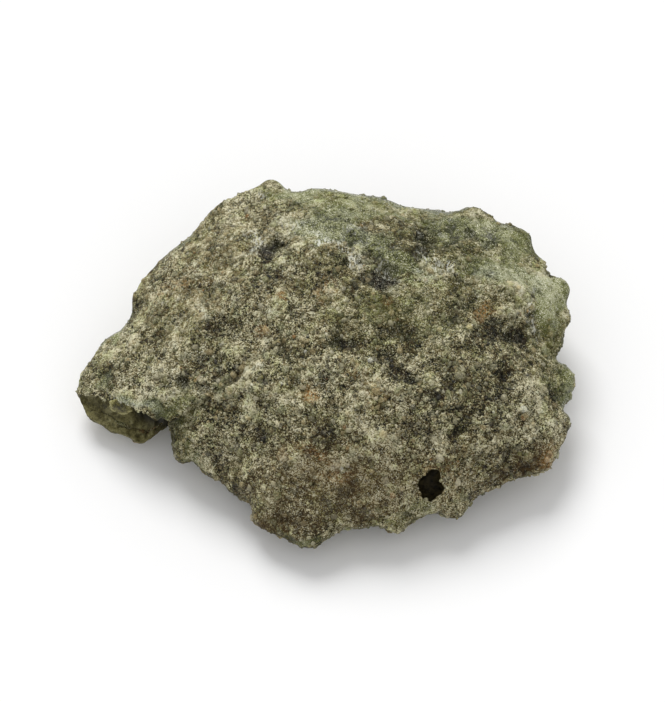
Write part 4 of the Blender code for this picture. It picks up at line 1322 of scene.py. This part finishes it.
class Look:
    """A material and its nodes."""

    def __init__(self, name, roughness, coat=0.0, gloss=0.25, ior=1.5):
        self.material = bpy.data.materials.new(name)
        self.material.use_nodes = True
        self.tree = self.material.node_tree
        self.shader = self.tree.nodes["Principled BSDF"]
        self.shader.inputs["Roughness"].default_value = roughness
        self.shader.inputs["Coat Weight"].default_value = coat
        self.shader.inputs["Coat Roughness"].default_value = COAT_ROUGHNESS
        self.shader.inputs["Specular IOR Level"].default_value = gloss
        self.shader.inputs["IOR"].default_value = ior
        self.place = self.node("TexCoord", output="Object").socket

    def node(self, kind, settings=(), sockets=(), output=0):
        """Adds a node: its settings first, then the values or links of its sockets."""
        made = self.tree.nodes.new("ShaderNode" + kind)
        for name, setting in dict(settings).items():
            if name == "stops":
                self.set_stops(made.color_ramp, setting)
            else:
                setattr(made, name, setting)
        by_name = {socket.identifier: socket for socket in made.inputs}
        for name, value in dict(sockets).items():
            self.feed(by_name[name], value)
        if isinstance(output, str):
            output = [socket.identifier for socket in made.outputs].index(output)
        return Number(self, made.outputs[output])

    def feed(self, socket, value):
        """Links a number or a socket to this socket, or sets the socket's own value."""
        if isinstance(value, Number):
            self.tree.links.new(value.socket, socket)
        elif isinstance(value, bpy.types.NodeSocket):
            self.tree.links.new(value, socket)
        else:
            socket.default_value = value

    @staticmethod
    def set_stops(ramp, stops):
        """Gives a colour ramp its stops: places along it, and colours."""
        while len(ramp.elements) < len(stops):
            ramp.elements.new(1.0)
        for element, (position, colour) in zip(ramp.elements, stops):
            element.position = position
            element.color = (*colour, 1.0)

    def maths(self, operation, first, second):
        settings = {"operation": operation}
        return self.node("Math", settings, {"Value": first, "Value_001": second})

    def clamp(self, value):
        return self.node("Clamp", (), {"Value": value})

    def between(self, value, low, high):
        """0 below low and 1 above high, smooth between them."""
        sockets = {"Value": value, "From Min": low, "From Max": high}
        return self.node("MapRange", {"interpolation_type": "SMOOTHSTEP"}, sockets)

    def marked(self, name):
        """The number that the mesh holds under this name."""
        return self.node("Attribute", {"attribute_name": name}, output="Fac")

    def axis(self, name):
        """How far along an axis of the stone the point lies, in mm as seen in the photo."""
        shift = dict(zip("XYZ", SHIFT))[name]
        return self.node("SeparateXYZ", (), {"Vector": self.place}, name) * (1 / MM) - shift

    def shifted(self, seed):
        """The place moved by `seed` metres each way, to read a pattern somewhere else."""
        if not seed:
            return self.place
        sockets = {"Vector": self.place, "Vector_001": (seed, seed, seed)}
        return self.node("VectorMath", {"operation": "ADD"}, sockets)

    def cloud(self, size, detail=3.0, roughness=0.55, seed=0.0):
        """Noise from 0 to 1 whose lumps are `size` mm across."""
        sockets = {"Vector": self.shifted(seed), "Scale": 1 / (size * MM), "Detail": detail}
        return self.node("TexNoise", (), sockets | {"Roughness": roughness})

    def streaks(self, size, stretch, detail):
        """Noise from 0 to 1 that is drawn out along the axes whose stretch is small."""
        sockets = {"Vector": self.place, "Vector_001": stretch}
        place = self.node("VectorMath", {"operation": "MULTIPLY"}, sockets)
        sockets = {"Vector": place, "Scale": 1 / (size * MM), "Detail": detail}
        return self.node("TexNoise", (), sockets | {"Roughness": 0.65})

    def cells(self, size, seed=0.0):
        """The random colours of cells `size` mm across, as three numbers."""
        sockets = {"Vector": self.shifted(seed), "Scale": 1 / (size * MM)}
        return self.parts(self.node("TexVoronoi", (), sockets, "Color"))

    def parts(self, colour):
        """The three channels of a colour as numbers."""
        made = self.tree.nodes.new("ShaderNodeSeparateColor")
        self.feed(made.inputs[0], colour)
        return [Number(self, socket) for socket in made.outputs]

    def ramp(self, value, *stops):
        """Colours, given as on a screen, at their places along a value."""
        stops = [(position, tuple(from_screen(colour))) for position, colour in stops]
        return self.node("ValToRGB", {"stops": stops}, {"Fac": value})

    def mix(self, first, second, share, how="MIX"):
        """Two colours, each a socket or given as on a screen, mixed by a share."""
        first, second = (
            (*from_screen(colour), 1.0) if isinstance(colour, tuple) else colour
            for colour in (first, second)
        )
        sockets = {"A_Color": first, "B_Color": second, "Factor_Float": share}
        settings = {"data_type": "RGBA", "blend_type": how}
        return self.node("Mix", settings, sockets, "Result_Color")

    def finish(self, colour, roughness=None, bumps=(), coat=None):
        """Links the shader. Each bump is a height, its size in mm and its strength."""
        self.feed(self.shader.inputs["Base Color"], colour)
        if roughness is not None:
            self.feed(self.shader.inputs["Roughness"], roughness)
        if coat is not None:
            self.feed(self.shader.inputs["Coat Weight"], coat)
        normal = None
        for height, size, strength in bumps:
            sockets = {"Height": height, "Distance": size * MM, "Strength": strength}
            if normal is not None:
                sockets["Normal"] = normal
            normal = self.node("Bump", (), sockets)
        if normal is not None:
            self.feed(self.shader.inputs["Normal"], normal)
        return self.material


def fused_sand(look):
    """The colour, roughness and bumps of sand half melted into green glass: small cells of
    sand, bare glass where the skin has run smooth, and stains, with painted shade in the pits
    and along the rim, and painted glints and highlight streaks."""
    red, green, blue = look.cells(0.22)
    fine_red, fine_green, _ = look.cells(0.12, seed=3.0)
    middling = look.cloud(0.75, 5.0, 0.65)
    small = look.cloud(0.20, 4.0, 0.65)
    tiny = look.cloud(0.10, 3.0, 0.6)
    hue = look.cloud(1.3, 5.0, 0.65)
    grey = look.cloud(1.0, 5.0, 0.65, seed=5.0)
    glass, pale, dark, moss = (look.marked(name) for name in ("glass", "pale", "dark", "moss"))
    tone, gritty = look.marked("tone"), look.marked("grit")
    streaks = look.streaks(0.30, (0.30, 1.0, 0.8), 4.0)
    bare = look.between(glass + (small - 0.5) * 0.5 - tone * 0.12, 0.30, 0.75)
    speck = (red - 0.5) * 0.28 + (fine_red - 0.5) * 0.44 + (tiny - 0.5) * 2.15
    grit = speck * (gritty * 0.95 + 0.35) + (small - 0.5) * 0.85 + (streaks - 0.5) * 0.65
    sand = look.ramp(
        look.clamp(
            SAND_LIGHT + tone * 0.26 + grit + (middling - 0.5) * 0.5 + pale * 0.30 - dark * 0.34
        ),
        *SAND_RAMP,
    )
    greener = look.clamp(look.between(hue, 0.46, 0.64) * (moss + 0.5))
    sand = look.mix(sand, (229, 242, 200), greener, "MULTIPLY")
    greyer = look.clamp(look.between(grey, 0.46, 0.64) * (look.marked("grey") + 0.4))
    sand = look.mix(sand, (238, 244, 255), greyer, "MULTIPLY")
    warm = look.clamp((look.marked("tan") * 0.5 + 0.08) * look.between(green, 0.35, 0.8))
    sand = look.mix(sand, (168, 134, 84), warm)
    deep = look.ramp(
        look.clamp(
            GLASS_LIGHT + tone * 0.22 + (middling - 0.5) * 0.6 + (small - 0.5) * 0.7
            + (tiny - 0.5) * 1.1
        ),
        *GLASS_RAMP,
    )
    deep = look.mix(deep, (200, 204, 180), look.clamp(pale * 0.6 * look.between(tiny, 0.4, 0.6)))
    ground = look.mix(sand, deep, bare)
    mossy = look.clamp(moss * 0.45 * look.between(middling, 0.25, 0.6))
    ground = look.mix(ground, (98, 103, 44), mossy)
    ground = look.mix(ground, (96, 74, 40), look.clamp(look.marked("brown") * 0.4))
    rust = look.clamp(look.marked("rust") * look.between(fine_green, 0.2, 0.7) * 0.6)
    ground = look.mix(ground, (176, 128, 68), rust)
    slag = look.clamp(dark * 0.8 * look.between(blue, 0.2, 0.7))
    ground = look.mix(ground, (118, 116, 104), slag, "MULTIPLY")
    violet = look.clamp(look.marked("violet") * 0.9)
    ground = look.mix(ground, (150, 146, 190), violet, "MULTIPLY")
    # Painted shade in the pits.
    ground = look.mix(ground, (40, 42, 20), look.marked("pit") * 0.5)
    # Painted shade along the rim, where the skin turns edge-on.
    ground = look.mix(ground, (50, 52, 24), look.marked("rim") * 0.7)
    # Painted glints: pale specks over all the sand, and painted highlight streaks where those
    # marks lie.
    facet = look.cloud(0.085, 3.0, 0.6, seed=9.0)
    painted_streak = look.between(look.streaks(0.16, (1.0, 0.40, 0.6), 3.0), 0.49, 0.58)
    painted_streak = painted_streak * look.marked("sheen")
    painted_glint = look.between(facet + glass * 0.03 + (middling - 0.5) * 0.12, 0.59, 0.65)
    ground = look.mix(ground, (232, 230, 206), look.clamp(painted_glint * (0.66 + tone * 0.40)))
    ground = look.mix(ground, (226, 227, 214), look.clamp(painted_streak * 0.75))
    roughness = look.clamp(0.58 - bare * 0.30 - painted_glint * 0.2 + (tiny - 0.5) * 0.4)
    bumps = ((small, 0.08, 0.8), (tiny, 0.04, 0.8))
    return ground, roughness, bumps, bare * 0.25 * (1 - look.marked("rim"))


def skin_look():
    """The look of the whole skin."""
    look = Look("fused_sand_skin", 0.5, gloss=0.14)
    return look.finish(*fused_sand(look))


def hollow_look():
    """The olive glass inside a broken bubble: ribbed and cloudy, with painted shade under the
    toe's lip.
    """
    look = Look("hollow_glass", 0.4, gloss=0.4)
    broad = look.cloud(1.3, 4.0)
    small = look.cloud(0.3, 4.0, 0.65)
    tiny = look.cloud(0.09, 2.0)
    ribs = look.streaks(0.35, (1.0, 0.30, 0.30), 4.0)
    colour = look.ramp(
        look.clamp(broad * 0.5 + small * 0.6 + ribs * 0.6 + tiny * 0.4 - 0.55),
        *HOLLOW_RAMP,
    )
    across, depth, height = (look.axis(name) for name in "XYZ")
    up = depth * math.sin(VIEW_ELEVATION) + height * math.cos(VIEW_ELEVATION)
    under_lip = HOLLOW_LIP[1] - (across - HOLLOW_LIP[0]) * HOLLOW_LIP_SLOPE - up
    lip_shade = look.between(across, *LIP_SHADE_FROM) * look.between(under_lip, *LIP_SHADE_FADE)
    # Painted shade under the lip of the toe's hollow.
    colour = look.mix(colour, (20, 17, 9), look.clamp(lip_shade * 0.92))
    red, _, _ = look.cells(0.2)
    colour = look.mix(colour, (36, 34, 16), look.clamp(look.between(red, 0.80, 0.92) * 0.5))
    roughness = look.clamp(0.34 + (tiny - 0.5) * 0.4)
    bumps = ((ribs, 0.10, 0.6), (small, 0.08, 0.6), (tiny, 0.03, 0.5))
    return look.finish(colour, roughness, bumps)


def bubble_look():
    """The glass deep in the bubble behind the mouth, painted dark as painted shade."""
    look = Look("bubble_glass", 0.5)
    small = look.cloud(0.35, 4.0)
    colour = look.ramp(small, *BUBBLE_SHADE_RAMP)
    return look.finish(colour, look.clamp(0.4 + small * 0.3), ((small, 0.08, 0.6),))


def fold_look():
    """The thin green glass of the fold under the toe's lip, pale where it is thickest."""
    look = Look("fold_glass", 0.35, gloss=0.4)
    small = look.cloud(0.25, 4.0, 0.65)
    tiny = look.cloud(0.09, 2.0)
    lines = look.streaks(0.25, (0.5, 1.0, 1.0), 4.0)
    edge = look.between(look.marked("edge"), 0.55, 0.95)
    colour = look.ramp(
        look.clamp(small * 0.7 + lines * 1.0 + tiny * 0.5 + edge * 0.3 - 0.72),
        *FOLD_RAMP,
    )
    roughness = look.clamp(0.30 + (tiny - 0.5) * 0.4)
    return look.finish(colour, roughness, ((lines, 0.08, 0.6), (small, 0.06, 0.6)))


def grain_look(name, roughness, clear, keep):
    """A kind of grain: `keep` of its own colour over that of the fused sand round it, clouded
    and chipped inside the grain."""
    look = Look(name, roughness, coat=clear, ior=1.54)
    ground, worn, bumps, _ = fused_sand(look)
    own = look.node("Attribute", {"attribute_name": "grain_colour"}, output="Color")
    chips = look.cloud(0.06, 2.0)
    own = look.mix(own, (44, 42, 24), look.between(chips, 0.54, 0.70) * 0.35)
    own = look.mix(own, (226, 220, 196), look.between(chips, 0.44, 0.30) * 0.30)
    return look.finish(look.mix(ground, own, keep), worn + (roughness - 0.5), bumps)


def palette(looks, kind):
    """A function that draws a colour for each grain: a shade by its share, made lighter or
    darker at random and by what shows where the grain lies."""
    shades = from_screen(kind["shades"])
    shares = np.array(kind["shares"])

    def colours(chosen, draw):
        count = len(chosen)
        paint = shades[draw.choice(len(shades), count, p=shares / sum(kind["shares"]))]
        light = np.exp(kind["spread"] * draw.normal(size=count))
        here = {name: values[chosen] for name, values in looks.items()}
        # Grains are lighter on pale marks, darker on dark marks, and darker on the rim as painted
        # shade.
        light *= 1 + 0.45 * here["pale"] - 0.50 * here["dark"] - 0.45 * here["rim"]
        paint = paint * light[:, None]
        for name, shade, most in GRAIN_STAINS:
            share = (here[name] * most * draw.uniform(0.4, 1.0, count))[:, None]
            paint = paint * (1 - share) + from_screen(shade) * share
        return np.clip(paint, *GRAIN_LIGHTS)

    return colours


def lay_all_grains(ground):
    """The four kinds of grain, each a piece of its own. Each weight says where they lie."""
    looks = ground.looks
    pale, dark, moss = looks["pale"], looks["dark"], looks["moss"]
    bare = smooth_step(0.25, 0.80, looks["glass"])
    sandy = (1 - 0.90 * bare) * (1 - 0.95 * looks["rim"])
    off_rim = 1 - 0.9 * looks["rim"]
    weights = {
        "quartz_grains": sandy * (1 + 2.5 * pale) * (1 - 0.6 * dark),
        "feldspar_grains": sandy * (1 + 1.2 * looks["tan"]) * (1 - 0.5 * dark),
        "green_grains": (0.8 - 0.45 * bare) * (1 + moss) * off_rim,
        "dark_grains": (1 - 0.85 * bare) * (0.45 + 2.8 * dark) * off_rim,
    }
    pieces = []
    for name, kind in GRAINS.items():
        material = grain_look(name.replace("grains", "sand"), *kind["look"])
        colours = palette(looks, kind)
        pieces.append(lay_grains(name, ground, weights[name], kind, colours, material))
    return pieces


def set_stage():
    """A pale floor, a soft key light from the upper left behind the stone, and white air."""
    look = Look("pale_floor", 0.9)
    shade = look.ramp(look.cloud(400.0, 2.0), *FLOOR_RAMP)
    mesh = bpy.data.meshes.new("floor")
    corners = [(-1, -1, 0), (1, -1, 0), (1, 1, 0), (-1, 1, 0)]
    corners = [tuple(FLOOR_REACH * place for place in corner) for corner in corners]
    mesh.from_pydata(corners, [], [(0, 1, 2, 3)])
    mesh.materials.append(look.finish(shade))
    floor = bpy.data.objects.new("floor", mesh)
    bpy.context.scene.collection.objects.link(floor)
    lamp = bpy.data.lights.new("key", "SUN")
    lamp.energy = KEY_STRENGTH
    lamp.angle = math.radians(KEY_WIDTH)
    key = bpy.data.objects.new("key", lamp)
    key.rotation_euler = Vector(KEY_FROM).to_track_quat("Z", "Y").to_euler()
    bpy.context.scene.collection.objects.link(key)
    air = bpy.data.worlds.new("white_air")
    air.use_nodes = True
    air.node_tree.nodes["Background"].inputs["Color"].default_value = (1.0, 1.0, 1.0, 1.0)
    air.node_tree.nodes["Background"].inputs["Strength"].default_value = AIR_STRENGTH
    bpy.context.scene.world = air
    bpy.context.scene.view_settings.view_transform = "Standard"


def set_camera():
    """A long lens at VIEW_ELEVATION, aimed so that the stone stands where the photo has it."""
    across, up, height = AIM
    aim = picture_to_stone(np.array(across), np.array(up), np.array(height))
    aim = Vector((aim + SHIFT) * MM)
    back = Vector(SIGHT)
    camera = bpy.data.objects.new("camera", bpy.data.cameras.new("camera"))
    camera.data.lens = LENS
    camera.data.clip_start = CAMERA_NEAR
    camera.location = aim + back * CAMERA_DISTANCE
    camera.rotation_euler = back.to_track_quat("Z", "Y").to_euler()
    bpy.context.scene.collection.objects.link(camera)
    bpy.context.scene.camera = camera


skins = make_skin(skin_look(), hollow_look(), bubble_look())
for skin in skins:
    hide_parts(STONE_NODE)
for piece in [*skins, make_fold(fold_look()), *lay_all_grains(Ground(skins))]:
    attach(piece, BODY)
set_stage()
set_camera()
